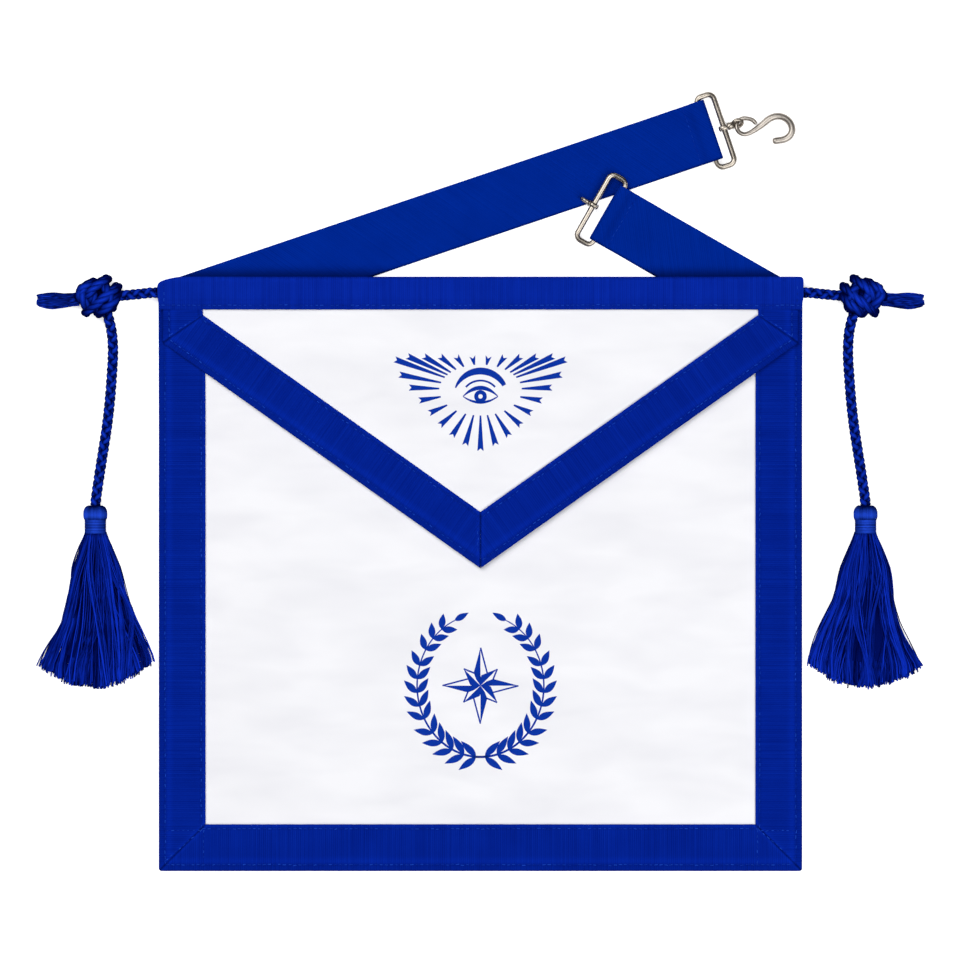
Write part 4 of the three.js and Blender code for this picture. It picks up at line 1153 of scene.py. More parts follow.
# %% Border ribbons
ribbon("border_bottom", "edge_ribbon_bottom",
       [(-HALF_WIDTH, BASE), (HALF_WIDTH, BASE)],
       [(-PANEL_INNER_X, PANEL_INNER_LOW), (PANEL_INNER_X, PANEL_INNER_LOW)],
       0, RIBBON_LIFT, 3.1)
for side_name, sign in SIDES.items():
    ribbon(f"border_{side_name}", f"edge_ribbon_{side_name}",
           [(sign * HALF_WIDTH, BASE), (sign * HALF_WIDTH, SHEET_TOP)],
           [(sign * PANEL_INNER_X, PANEL_INNER_LOW), (sign * PANEL_INNER_X, SHEET_TOP)],
           0, RIBBON_LIFT, 5.7 + sign)

# %% Flap ribbons
FLAP_CORNER_X = FLAP_HALF - FLAP_SIDE_WIDTH
SEAM = 0.02 * MM  # half the gap where the two slanted ribbons meet at the flap's point
TUCK = 0.5 * MM  # the flap's end ribbons reach this far under the waistband
for side_name, sign in SIDES.items():
    ribbon(f"flap_border_{side_name}", f"flap_ribbon_{side_name}",
           [(sign * SEAM, FLAP_APEX + SEAM * FLAP_SLOPE), (sign * FLAP_HALF, FLAP_CORNER)],
           [(sign * SEAM, flap_inner_edge(SEAM)),
            (sign * FLAP_CORNER_X, flap_inner_edge(FLAP_CORNER_X))],
           FLAP_LIFT, FLAP_RIBBON_LIFT, 8.3 + sign)
    ribbon(f"flap_end_{side_name}", f"flap_ribbon_side_{side_name}",
           [(sign * FLAP_HALF, FLAP_CORNER), (sign * FLAP_HALF, BAND_LOW + TUCK)],
           [(sign * FLAP_CORNER_X, flap_inner_edge(FLAP_CORNER_X)),
            (sign * FLAP_CORNER_X, BAND_LOW + TUCK)],
           FLAP_LIFT, FLAP_RIBBON_LIFT, 12.9 + sign)

# %% [markdown]
# ## Waistband
# The same ribbon, folded over the top edges of panel and flap, makes a casing for the cord.
# Its section is a narrow loop, open below, that bulges over the cord. It is carried across
# the apron with a slight waver, and its ends are rounded where the tape is tucked in.

# %% The waistband's section
BAND_FRONT = PANEL_RISE + FLAP_RIBBON_LIFT + CLOTH
BAND_ROUND = 2 * MM


def band_front(y):
    """Height of the waistband's front face."""
    swell = fade_in(y - (SHEET_TOP - 2 * MM), 2.5 * MM)
    return BAND_FRONT + (BAND_CROWN - BAND_FRONT) * swell


def band_section(inset):
    """Points (up the apron, height) from the back's lower edge over the top to the front's."""
    back = BAND_BACK + inset
    crown = BAND_CROWN - inset
    radius = (crown - back) / 2
    section = [(y, back) for y in np.linspace(BAND_LOW, TOP - inset - radius, 8)[:-1]]
    for i in range(13):
        angle = -math.pi / 2 + math.pi * i / 12
        up = TOP - inset - radius + radius * math.cos(angle)
        section.append((up, back + radius * (1 + math.sin(angle))))
    for y in np.linspace(TOP - inset - radius, BAND_LOW, 16)[1:]:
        section.append((y, band_front(y) - inset))
    return section


# %% The waistband's ends
# The left top corner droops: mm below the top, then how far its end is drawn in there
LEFT_CORNER = [(0.0, 15.0), (0.6, 10.6), (1.7, 5.6), (3.3, 1.5), (5.2, 0.0)]
END_TUCK = 1.1 * MM


def band_end(y, sign):
    """Where the tape ends: rounded at the top and drawn in a little below."""
    corner = max(0.0, y - (TOP - BAND_ROUND))
    rounding = BAND_ROUND - math.sqrt(max(0.0, BAND_ROUND**2 - corner**2))
    if sign < 0:
        rounding = from_table(LEFT_CORNER, (TOP - y) / MM) * MM
    tuck = END_TUCK * fade_in((BAND_LOW + 9 * MM) - y, 9 * MM)
    return sign * (BAND_END - rounding - tuck)


# %% The waistband
# Painted light up the front of the waistband: mm above its lower edge, then how light it is painted,
# with painted shade along the lower edge and the row of stitches and a painted highlight near the
# rounded top
BAND_PAINTED_LIGHT = [
    (0.0, 0.36), (1.4, 0.46), (2.7, 0.36), (4.2, 0.5), (17.0, 0.5), (19.5, 0.55), (20.8, 0.42),
]
BAND_ROWS = 260
BAND_WAVE = 0.35 * MM
BAND_DIP = 0.2 * MM
band_loop = band_section(0) + list(reversed(band_section(CLOTH)))
points, uvs, tones = [], [], []
for i in range(BAND_ROWS + 1):
    around = 0.0
    for k, (y, z) in enumerate(band_loop):
        left_end, right_end = band_end(y, -1), band_end(y, 1)
        x = left_end + (right_end - left_end) * i / BAND_ROWS
        if k:
            around += math.dist(band_loop[k], band_loop[k - 1])
        in_front = z > BAND_FRONT - 0.1 * MM
        wave = BAND_WAVE * (waves(x, y, 20 * MM, 15.5) - 0.5) if in_front else 0
        from_row = y - BAND_LOW - STITCH_INSET
        dip = -BAND_DIP * math.exp(-(from_row / DIP_WIDTH) ** 2) if k > 12 else 0
        points.append((x, y, z + wave + dip))
        uvs.append((x, around))
        tones.append(from_table(BAND_PAINTED_LIGHT, (y - BAND_LOW) / MM))
heap = Heap()
band_faces = [tuple(reversed(f)) for f in skin_faces(BAND_ROWS + 1, len(band_loop))]
heap.add(points, band_faces, uvs, tones)
make_piece("waistband_tape", heap, casing_tape, replaces=["waistband"])

# %% [markdown]
# ## Belt
# The belt is twill-woven webbing. Each length is sewn behind the waistband, folded back on
# itself at a slant and turned round a wire loop at its far end, where two plies are sewn
# together. The fold and the turn are swept as real bends, as thick as the webbing.

# %% [markdown]
# ### Webbing finish
# The webbing is spun polyester in a twill, which gives the eye a soft matt band with fine
# ribs that lean. It could be painted as stripes; the ribbon's own weave does it better,
# with a slant, so that light and bump follow the same ribs.

# %% Webbing finish
TWILL_PITCH = 1.5 * MM  # coarser than the real 0.8 mm, to show at all
webbing = woven_material("twill_webbing", "00207E", "012892", TWILL_PITCH, 0.75, 0.18, 0.8)

print("twill ribs every", TWILL_PITCH / MM, "mm")

# %% One length of the belt, from the frame's joints
JOINTS = {joint["name"]: joint for joint in frame["joints"]}
STRAP_WIDTH = 39 * MM
STRAP_THICKNESS = 1.2 * MM
WIRE_RADIUS = 1.3 * MM
LOOP_RADIUS = WIRE_RADIUS + 0.7 * MM
STITCH_SETBACK = 8.8 * MM
TURN_UNDER = 4 * MM
RISE_LENGTH = 22 * MM
SEWN_LENGTH = 35 * MM  # the ply that is sewn on behind the waistband
STRAP_HALF = STRAP_WIDTH / 2


class Strap:
    """One length of the belt, measured along its middle from the fold at the waistband."""

    def __init__(self, name, spin_joint, attached_way, drop, setback, slide):
        joint = JOINTS[spin_joint]
        self.name = name
        self.out = Vector(joint["axis"]).normalized()
        self.left = Vector((-self.out.y, self.out.x, 0))
        self.bar = Vector(joint["pos_m"])
        self.attached_way = attached_way
        self.setback = setback
        middle = self.bar - self.left * slide
        reach_to_bar = (middle.y - (TOP - drop - STRAP_HALF)) / self.out.y
        self.fold = (middle - self.out * reach_to_bar) * Vector((1, 1, 0))
        self.reach = reach_to_bar + setback
        self.loop_level = self.bar.z - LOOP_RADIUS - STRAP_THICKNESS


long_strap = Strap("long_strap", "hook_swivel_spin", -1, 3.8 * MM, 5 * MM, -1.6 * MM)
short_strap = Strap("short_strap", "eye_swivel_spin", 1, 6.1 * MM, 3.3 * MM, 0)
for strap in (long_strap, short_strap):
    print(strap.name, "reaches", round(strap.reach / MM, 1), "mm past its fold")


# %% How the straps climb


def crossing_on_short_strap():
    """Distance along the short strap at which its edge first meets the long strap below it."""
    start = short_strap.fold - short_strap.left * STRAP_HALF - long_strap.fold
    return (-STRAP_HALF - start.dot(long_strap.left)) / short_strap.out.dot(long_strap.left)


def strap_height(strap, along):
    """Height of the strap's lower face, as it climbs over the turned ply and the wire."""
    stitches = strap.reach - strap.setback - STITCH_SETBACK
    lift_end = stitches - TURN_UNDER
    if strap is short_strap:
        lift_end = min(lift_end, crossing_on_short_strap())
    lifted = strap.loop_level + STRAP_THICKNESS + GAP
    opened = strap.loop_level + STRAP_THICKNESS + 2 * LOOP_RADIUS
    first = fade_in(along - (lift_end - RISE_LENGTH - 2 * MM), RISE_LENGTH)
    second = fade_in(along - stitches, STITCH_SETBACK - LOOP_RADIUS)
    return lifted * first + (opened - lifted) * second


# %% Cuts across a strap, from its sewn end to its turned end
SEWN_CUTS = 12
FOLD_CUTS = 10
CUT_PITCH = 1.8 * MM
TURN_CUTS = 14
UNDER_CUTS = 8
FOLD_SKEW = 30 * MM  # cuts lie slanted at the fold and square to the strap this far on


def strap_cuts(strap):
    """Cuts across the strap: for each, a function of (across, depth) and its place along."""
    half_turn = math.atan2(strap.out.y, strap.out.x)
    attached_angle = math.pi if strap.attached_way < 0 else 0.0
    fold_angle = (half_turn + attached_angle) / 2
    away = fold_angle + (math.pi / 2 if strap.attached_way < 0 else -math.pi / 2)
    outward = Vector((math.cos(away), math.sin(away), 0))
    slant = 1 / math.tan(fold_angle - half_turn)
    back = Vector((-strap.attached_way, 0, 0))
    upward = Vector((0, 0, 1))
    bend_height = STRAP_THICKNESS + GAP / 2
    loop_centre = strap.reach - LOOP_RADIUS - STRAP_THICKNESS

    def plan(across, along):
        return strap.fold + strap.left * across + strap.out * along

    cuts = []
    for i in range(SEWN_CUTS + 1):
        distance = SEWN_LENGTH * (1 - i / SEWN_CUTS)

        def attached(across, depth, distance=distance):
            place = plan(across, across * slant) + back * distance
            return place + upward * (2 * STRAP_THICKNESS + GAP - depth)

        cuts.append((attached, -distance))
    for i in range(1, FOLD_CUTS):
        angle = math.pi * (1 - i / FOLD_CUTS)

        def bend(across, depth, angle=angle):
            radius = bend_height - depth
            place = plan(across, across * slant) + outward * (radius * math.sin(angle))
            return place + upward * (bend_height - radius * math.cos(angle))

        cuts.append((bend, 0.0))
    rows = round(loop_centre / CUT_PITCH)
    for i in range(rows + 1):
        along = loop_centre * i / rows

        def ply(across, depth, along=along):
            skew = across * slant * max(0.0, 1 - along / FOLD_SKEW)
            place = plan(across, along + skew)
            waver = 0.5 * MM * (waves(place.x, place.y, 34 * MM, 21.3) - 0.3)
            waver *= fade_in(along, 60 * MM)
            waver *= 1 - fade_in(along - (loop_centre - 45 * MM), 20 * MM)
            return place + upward * (strap_height(strap, along) + depth + max(0.0, waver))

        cuts.append((ply, along))
    for i in range(1, TURN_CUTS + 1):
        angle = math.pi * i / TURN_CUTS

        def turn(across, depth, angle=angle):
            radius = LOOP_RADIUS + depth
            place = plan(across, loop_centre + radius * math.sin(angle))
            return place + upward * (strap.bar.z + radius * math.cos(angle))

        cuts.append((turn, loop_centre + LOOP_RADIUS * angle))
    ply_end = strap.reach - strap.setback - STITCH_SETBACK - TURN_UNDER
    for i in range(1, UNDER_CUTS + 1):
        along = loop_centre + (ply_end - loop_centre) * i / UNDER_CUTS

        def turned(across, depth, along=along):
            return plan(across, along) + upward * (strap.loop_level + STRAP_THICKNESS - depth)

        cuts.append((turned, 2 * loop_centre - along))
    return cuts


# %% The webbing's section and tone


def strap_section():
    """Points (across, depth) once round the webbing, with its woven edges rounded."""
    half, thick = STRAP_HALF, STRAP_THICKNESS
    lower = [(x, 0) for x in np.linspace(half - 0.5 * MM, -half + 0.5 * MM, 10)]
    inner = list(np.linspace(-half + 1.8 * MM, half - 1.8 * MM, 16))
    upper = [(x, thick) for x in [-half + 0.5 * MM] + inner + [half - 0.5 * MM]]
    left_edge = [(-half + 0.12 * MM, 0.15 * MM), (-half, thick / 2),
                 (-half + 0.12 * MM, thick - 0.15 * MM)]
    right_edge = [(-x, thick - depth) for x, depth in left_edge]
    return lower + left_edge + upper + right_edge


def strap_tone(strap, across, y):
    """The lower edge and the part just above the waistband lie in shade."""
    from_low_edge = STRAP_HALF - across * strap.attached_way
    edge = 0.3 * (1 - fade_in(from_low_edge, 1.8 * MM))
    tucked = 0.24 * (1 - fade_in(y - TOP, 8 * MM))
    return 0.5 - edge - tucked


def strap_piece(strap):
    section = strap_section()
    points, uvs, tones = [], [], []
    for place, along in strap_cuts(strap):
        for across, depth in section:
            points.append(tuple(place(across, depth)))
            uvs.append((along, across))
            tones.append(strap_tone(strap, across, points[-1][1]))
    faces = skin_faces(len(points) // len(section), len(section))
    heap = Heap()
    heap.add(points, faces, uvs, tones)
    make_piece(f"{strap.name}_webbing", heap, webbing, replaces=[strap.name])


for strap in (long_strap, short_strap):
    strap_piece(strap)

# %% [markdown]
# ## Stitching
# Every row of stitches is made of real little capsules of thread, sunk half into the cloth.
# A dashed line painted on the ribbon would be cheaper, but it would not catch the light.

# %% Thread finish
# Polyester thread has a tight twist and a small highlight, and is a shade lighter than the
# ribbon, which is how the rows show in soft light. Each stitch has a shade of its own.


def thread_material():
    made, tree, shader = new_finish("polyester_thread", {
        "Roughness": 0.5, "Specular IOR Level": 0.3, "Specular Tint": linear("3868FF"),
    })
    shade = add_node(tree, "ShaderNodeAttribute", attribute_name="shade")
    colour = add_node(tree, "ShaderNodeMix",
                      {0: shade.outputs["Fac"], 6: linear("031C80"), 7: linear("1C48BC")},
                      data_type="RGBA")
    fill_sockets(tree, shader, {"Base Color": colour.outputs[2]})
    return made


thread = thread_material()
print(thread.name, "made")

# %% One row of stitches
STITCH_PITCH = 3.2 * MM
STITCH_LENGTH = 2.2 * MM
THREAD_RADIUS = 0.26 * MM
THREAD_SINK = 0.12 * MM
THREAD_ARCH = 0.16 * MM
# A stitch's points, as shares of its length from its middle, and its thickness there
STITCH_FORM = [(-0.5, 0.45), (-0.42, 0.85), (-0.2, 1), (0.2, 1), (0.42, 0.85), (0.5, 0.45)]


def stitch_row(heap, start, end, height_at, draw, brightest=1.0):
    """Stitches from start to end, a little uneven in place, length and lean."""
    start, end = Vector(start), Vector(end)
    whole = (end - start).length
    way = (end - start).normalized()
    aside = Vector((-way.y, way.x))
    count = max(1, int(whole / STITCH_PITCH))
    for i in range(count):
        centre = start + way * (whole * (i + 0.5) / count + draw.gauss(0, 0.12 * MM))
        centre += aside * draw.gauss(0, 0.14 * MM)
        tilt = draw.gauss(0, 0.1)
        length = STITCH_LENGTH * draw.uniform(0.7, 1.08)
        path = []
        for share, _ in STITCH_FORM:
            place = centre + way * (share * length) + aside * (tilt * share * length)
            arch = THREAD_ARCH * (1 - (2 * share) ** 4)
            path.append((place.x, place.y, height_at(place.x, place.y) - THREAD_SINK + arch))
        taper = np.array([thickness for _, thickness in STITCH_FORM]) * THREAD_RADIUS
        sweep(heap, path, taper, 6, shade=brightest * draw.random() ** 1.3)


# %% Rows on the border
stitch_draw = random.Random(3)
SIDE_ROW_TOP = 110 * MM
LEVEL_STEP = 1.2 * MM  # rows that cross at a corner lie this far from the seam


def border_height(x, y):
    return rise_at(y) + RIBBON_LIFT + CLOTH - THREAD_SINK


def flap_height(x, y):
    return rise_at(y) + FLAP_RIBBON_LIFT + CLOTH - THREAD_SINK


def band_height(x, y):
    return band_front(y) - THREAD_SINK


def stitch_rows(name, height_at, rows):
    """Sews rows, each given by its two end points, as one piece."""
    heap = Heap()
    for start, end in rows:
        stitch_row(heap, start, end, height_at, stitch_draw)
    make_piece(name, heap, thread)


outer_x, inner_x = HALF_WIDTH - OUTER_STITCH_INSET, PANEL_INNER_X + STITCH_INSET
outer_y, inner_y = BASE + OUTER_STITCH_INSET, PANEL_INNER_LOW - STITCH_INSET
corner_x = PANEL_INNER_X + LEVEL_STEP
border_rows = []
for sign in SIDES.values():
    border_rows += [
        ((sign * outer_x, outer_y), (sign * outer_x, FLAP_CORNER - 8 * MM)),
        ((sign * inner_x, inner_y), (sign * inner_x, SIDE_ROW_TOP)),
        ((sign * outer_x, inner_y - LEVEL_STEP), (sign * inner_x, inner_y - LEVEL_STEP)),
        ((sign * corner_x, outer_y), (sign * corner_x, inner_y)),
        ((sign * (outer_x + 0.2 * MM), BASE + 6.5 * MM),
         (sign * (PANEL_INNER_X + 1.4 * MM), inner_y)),
    ]
border_rows += [((-outer_x, outer_y), (outer_x, outer_y)), ((-inner_x, inner_y), (inner_x, inner_y))]
stitch_rows("border_stitching", border_height, border_rows)

# %% Rows on the flap and the waistband
lift = OUTER_STITCH_INSET * FLAP_SLANT
drop = STITCH_INSET * FLAP_SLANT
far = FLAP_HALF - OUTER_STITCH_INSET
near = FLAP_CORNER_X
flap_rows = []
for sign in SIDES.values():
    flap_rows += [
        ((sign * MM, FLAP_APEX + lift), (sign * far, FLAP_APEX + far * FLAP_SLOPE + lift)),
        ((sign * MM, flap_inner_edge(0) - drop), (sign * near, flap_inner_edge(near) - drop)),
        ((sign * far, FLAP_CORNER + 3 * MM), (sign * far, BAND_LOW - MM)),
        ((sign * far, FLAP_CORNER + 4.5 * MM),
         (sign * (near + MM), flap_inner_edge(near) + 0.6 * MM)),
    ]
flap_rows.append(((-1.6 * MM, FLAP_APEX + 6 * MM), (-1.6 * MM, flap_inner_edge(0) - 4 * MM)))
stitch_rows("flap_stitching", flap_height, flap_rows)

band_row = BAND_LOW + STITCH_INSET
band_rows = [((-BAND_END + 2 * MM, band_row), (BAND_END - 2 * MM, band_row))]
for sign in SIDES.values():
    end_x = sign * (BAND_END - OUTER_STITCH_INSET)
    band_rows.append(((end_x, BAND_LOW + 4 * MM), (end_x, TOP - 5 * MM)))
stitch_rows("band_stitching", band_height, band_rows)

# %% Rows across the straps
STRAP_ROW_TONE = 0.6  # webbing hides its stitches more than ribbon does
heap = Heap()
for strap in (long_strap, short_strap):
    along = strap.reach - strap.setback - STITCH_SETBACK - 0.6 * MM
    middle = strap.fold + strap.out * along
    half = strap.left * (STRAP_HALF - 1.5 * MM)
    height = strap_height(strap, along) + STRAP_THICKNESS

    def strap_top(x, y, height=height):
        return height

    stitch_row(heap, (middle - half).xy, (middle + half).xy, strap_top, stitch_draw, STRAP_ROW_TONE)
make_piece("strap_stitching", heap, thread)

# %% [markdown]
# ## Wire fittings
# Loops, swivels and hook are bent from steel wire, barrelled and nickel plated. The bends
# are swept in the strap's own frame and then placed by the frame's joints, so that each
# piece turns about the same axis as its solid.

# %% [markdown]
# ### Nickel finish
# Bright nickel over drawn steel gives the eye a warm grey mirror, light on the side that
# lies up and darker down its flanks. A plain metal would show only the white studio, so the
# colour is painted: painted shade darkens the flanks and a painted highlight lightens the
# crest, by the way that they face.

# %% Nickel finish
ROUGHNESS_SPREAD = 0.08


def nickel_material(name, painted_flank_shade, painted_crest_highlight, smoothest):
    made, tree, shader = new_finish(name, {"Metallic": 1})
    place = add_node(tree, "ShaderNodeTexCoord")
    smudge = add_node(tree, "ShaderNodeTexNoise",
                      {"Vector": place.outputs["Object"], "Scale": 90.0, "Detail": 1.0})
    rough = add_node(tree, "ShaderNodeMapRange",
                     {0: smudge.outputs[0], 1: 0.3, 2: 0.7, 3: smoothest,
                      4: smoothest + ROUGHNESS_SPREAD})
    facing = add_node(tree, "ShaderNodeSeparateXYZ", {0: place.outputs["Normal"]})
    # Painted light: upward faces take the crest colour, flanks the darker colour, with a little smudge.
    painted_light_by_facing = add_node(tree, "ShaderNodeMath", {0: smudge.outputs[0], 1: 0.1, 2: facing.outputs[2]},
                    operation="MULTIPLY_ADD")
    painted_light_share = add_node(tree, "ShaderNodeMapRange", {0: painted_light_by_facing.outputs[0], 1: 0.0, 2: 0.9})
    colour = add_node(tree, "ShaderNodeMix",
                      {0: painted_light_share.outputs[0], 6: linear(painted_flank_shade), 7: linear(painted_crest_highlight)}, data_type="RGBA")
    fill_sockets(tree, shader, {"Base Color": colour.outputs[2], "Roughness": rough.outputs[0]})
    return made


nickel = nickel_material("nickel_plated_steel_wire", "6A6056", "A49C91", 0.3)
satin_nickel = nickel_material("satin_nickel_hook", "8A8078", "A8A199", 0.36)
print(nickel.name, "and", satin_nickel.name, "made")

# %% Wire frames and their bored bosses
FRAME_DEPTH = 11.4 * MM
FRAME_LENGTH = 46.5 * MM
FRAME_CORNER = 3.8 * MM
BOSS_RADIUS = 2.3 * MM
BOSS_LENGTH = 4 * MM
POST_RADIUS = 0.9 * MM
RING_WIRE = 1.2 * MM
PLATED_RADIUS = 1.5 * MM  # the bar inside the strap's fold
BENT_RADIUS = 1.8 * MM  # the bare bends, with their thick plating
WIRE_END = 1.5 * MM  # each end of the wire stops in the boss's wall, this far from its axis
CORNER_STEPS = 8
BOSS_ROUND = 0.5 * MM


def place_on(strap, heap):
    """Moves points from the strap's own frame, with the bar at its origin, to the apron's."""
    turn = Matrix((strap.out, strap.left, Vector((0, 0, 1)))).transposed()
    heap.points = [tuple(turn @ Vector(p) + strap.bar) for p in heap.points]


def turned_profile(heap, profile, sides=24, closed=True):
    """Turns (along, radius) points round the X axis."""
    points = []
    for along, radius in profile:
        for k in range(sides):
            angle = 2 * math.pi * k / sides
            points.append((along, radius * math.cos(angle), radius * math.sin(angle)))
    heap.add(points, [tuple(reversed(f)) for f in skin_faces(len(profile), sides, closed)])


def loop_path():
    """The wire from the boss round the loop's four corners and back to the boss."""
    near, far = FRAME_CORNER, FRAME_DEPTH - FRAME_CORNER
    side_centre = FRAME_LENGTH / 2 - FRAME_CORNER
    path = [(FRAME_DEPTH, WIRE_END, 0)]
    for x, side, start in ((far, 1, 0), (near, 1, 90), (near, -1, 180), (far, -1, 270)):
        for i in range(CORNER_STEPS + 1):
            angle = math.radians(start + 90 * i / CORNER_STEPS)
            y = side * side_centre + FRAME_CORNER * math.sin(angle)
            path.append((x + FRAME_CORNER * math.cos(angle), y, 0))
    path.append((FRAME_DEPTH, -WIRE_END, 0))
    return path


def frame_heap():
    """The loop, thinner where it lies in the fold, and its boss, bored for the post."""
    heap = Heap()
    path = loop_path()
    bare = [min(1, max(0, x / (2 * MM))) for x, _, _ in path]
    sweep(heap, path, PLATED_RADIUS + (BENT_RADIUS - PLATED_RADIUS) * np.array(bare), 16)
    start, end = FRAME_DEPTH - BOSS_LENGTH / 2, FRAME_DEPTH + BOSS_LENGTH / 2
    rim = [(0, POST_RADIUS + GAP), (0, BOSS_RADIUS - BOSS_ROUND),
           (BOSS_ROUND * 0.3, BOSS_RADIUS - BOSS_ROUND * 0.3), (BOSS_ROUND, BOSS_RADIUS)]
    boss = [(start + inset, radius) for inset, radius in rim]
    boss += [(end - inset, radius) for inset, radius in reversed(rim)]
    turned_profile(heap, boss)
    return heap


loops = ((long_strap, "hook_frame", "hook_loop"), (short_strap, "eye_frame", "eye_loop"))
for strap, node, body in loops:
    heap = frame_heap()
    place_on(strap, heap)
    make_piece(f"{node}_wire", heap, nickel, body, [node])

# %% Swivels
HOOK_RING_RADIUS = 3 * MM
EYE_RING_RADIUS = 2.6 * MM
HOOK_BARREL = 3.7 * MM
EYE_BARREL = 0.8 * MM
RING_STEPS = 40
# The turned post, in mm past the boss's inner face, its outer face and the barrel's end,
# then its radius: a domed rivet head, the collar of the barrel and the barrel's rounded end
RIVET_HEAD = [(-1.2, 0.05), (-1.15, 0.8), (-0.8, 1.5), (-0.3, 1.88), (0, 1.8)]
COLLAR = [(0, 2.1), (0.3, 2.4)]
BARREL_END = [(-0.2, 2.3), (0.2, 1.8), (0.5, 1), (0.5, 0.05)]


def from_face(face, profile):
    return [(face + along * MM, radius * MM) for along, radius in profile]


def swivel_heap(ring_radius, tilt, barrel):
    """A post with its rivet head, barrel and ring; also where the ring's middle lies."""
    heap = Heap()
    start = FRAME_DEPTH - BOSS_LENGTH / 2 - GAP
    end = FRAME_DEPTH + BOSS_LENGTH / 2 + GAP
    post = [(start, POST_RADIUS), (end, POST_RADIUS)]
    profile = from_face(start, RIVET_HEAD) + post + from_face(end, COLLAR)
    turned_profile(heap, profile + from_face(end + barrel, BARREL_END), closed=False)
    middle = end + barrel + ring_radius
    path = []
    for i in range(RING_STEPS):
        angle = 2 * math.pi * i / RING_STEPS
        across = ring_radius * math.sin(angle)
        forward = middle + ring_radius * math.cos(angle)
        path.append((forward, across * math.cos(tilt), across * math.sin(tilt)))
    sweep(heap, path, RING_WIRE, 12, closed=True)
    return heap, middle


heap, hook_middle = swivel_heap(HOOK_RING_RADIUS, math.radians(48), HOOK_BARREL)
place_on(long_strap, heap)
make_piece("hook_swivel_turned", heap, nickel, "hook_turn", ["hook_swivel"])
heap, _ = swivel_heap(EYE_RING_RADIUS, math.radians(90), EYE_BARREL)
place_on(short_strap, heap)
make_piece("eye_swivel_turned", heap, nickel, "eye_turn", ["eye_swivel"])

# %% Snake hook
HOOK_LENGTH = 33.4 * MM
# Shares of the hook's length from the ring's middle: along the swivel's axis, left and up
HOOK_BENDS = [
    (0.342, -0.122, -0.004), (0.322, -0.094, -0.008), (0.300, -0.042, -0.016),
    (0.232, 0.015, -0.020), (0.130, 0.056, -0.026),
    (0.046, 0.046, -0.026), (-0.012, 0.000, 0.000), (-0.040, -0.084, 0.026), (-0.021, -0.175, 0.022),
    (0.056, -0.238, 0.012), (0.162, -0.244, 0.000), (0.270, -0.222, -0.012), (0.380, -0.190, -0.024),
    (0.488, -0.150, -0.027), (0.600, -0.110, -0.029), (0.720, -0.104, -0.030), (0.828, -0.144, -0.030),
    (0.914, -0.230, -0.030), (0.953, -0.346, -0.030), (0.935, -0.458, -0.030), (0.860, -0.538, -0.030),
    (0.750, -0.568, -0.030), (0.630, -0.553, -0.030), (0.520, -0.534, -0.030),
]
THIN_RADIUS = 1.4  # mm, of the small loop
THICKENING = 0.8  # mm more, in the big bend
THICKENS_AT = 7  # counted in points of HOOK_BENDS
THICKENS_OVER = 6

heap = Heap()
bends = [(hook_middle + a * HOOK_LENGTH, b * HOOK_LENGTH, c * HOOK_LENGTH) for a, b, c in HOOK_BENDS]
hook_path = smooth_path(bends, 0.5 * MM)
shares = np.linspace(0, len(HOOK_BENDS) - 1, len(hook_path))
thick = np.array([fade_in(share - THICKENS_AT, THICKENS_OVER) for share in shares])
hook_radii = (THIN_RADIUS + THICKENING * thick) * MM
rounded_end = np.minimum(1, np.sqrt((np.arange(len(hook_path)) + 0.6) / 3))
hook_radii *= rounded_end * rounded_end[::-1]
sweep(heap, hook_path, hook_radii, 16)
place_on(long_strap, heap)
make_piece("hook_wire", heap, satin_nickel, "hook_turn", ["hook"])

# %% [markdown]
# ## Printed ornament
# The real apron has two designs printed in blue. The flap carries the old ornament of an
# eye in a glory of rays, drawn here in a plain form. The panel carries a generic wreath
# round a star. Ink has almost no thickness, so each stroke is a very thin strip that
# follows the leather.

# %% Ink finish
# Screen ink is flat and matt, a little lighter than the ribbon because white shines through.
INK_GRAIN = 350  # uneven patches in a metre, about 3 mm each


def ink_material():
    made, tree, shader = new_finish("screen_ink", {"Roughness": 0.6, "Specular IOR Level": 0})
    place = add_node(tree, "ShaderNodeTexCoord")
    cloud = add_node(tree, "ShaderNodeTexNoise",
                     {"Vector": place.outputs["Object"], "Scale": INK_GRAIN, "Detail": 3.0})
    colour = add_node(tree, "ShaderNodeMix",
                      {0: cloud.outputs[0], 6: linear("0A2C92"), 7: linear("1038A2")},
                      data_type="RGBA")
    fill_sockets(tree, shader, {"Base Color": colour.outputs[2]})
    return made


ink = ink_material()
print(ink.name, "made")

# %% Strokes of ink
INK_THICKNESS = 0.07 * MM


def stroke(heap, left, right, surface, closed=False):
    """A printed strip between two edges, given as equal lists of plan points."""
    points = []
    for a, b in zip(left, right):
        for x, y in (a, b):
            points.append((x, y, surface(x, y) + INK_THICKNESS))
        for x, y in (b, a):
            points.append((x, y, surface(x, y) - INK_THICKNESS))
    heap.add(points, skin_faces(len(left), 4, closed))


def pen(heap, path, widths, surface, closed=False):
    """A stroke of varying width along a plan path."""
    path = np.asarray(path, dtype=float)
    if closed:
        way = np.roll(path, -1, axis=0) - np.roll(path, 1, axis=0)
    else:
        way = np.gradient(path, axis=0)
    way /= np.linalg.norm(way, axis=1)[:, None]
    aside = np.stack([-way[:, 1], way[:, 0]], axis=1)
    half = np.broadcast_to(np.asarray(widths, dtype=float), (len(path),))[:, None] / 2
    stroke(heap, (path + aside * half).tolist(), (path - aside * half).tolist(), surface, closed)


def arc(centre, radius_x, radius_y, start, end, count=24):
    angles = np.radians(np.linspace(start, end, count))
    across = centre[0] + radius_x * np.cos(angles)
    up = centre[1] + radius_y * np.sin(angles)
    return np.stack([across, up], axis=1)


# %% The eye in its glory of rays
GLORY_CENTRE = Vector((0, 116 * MM))
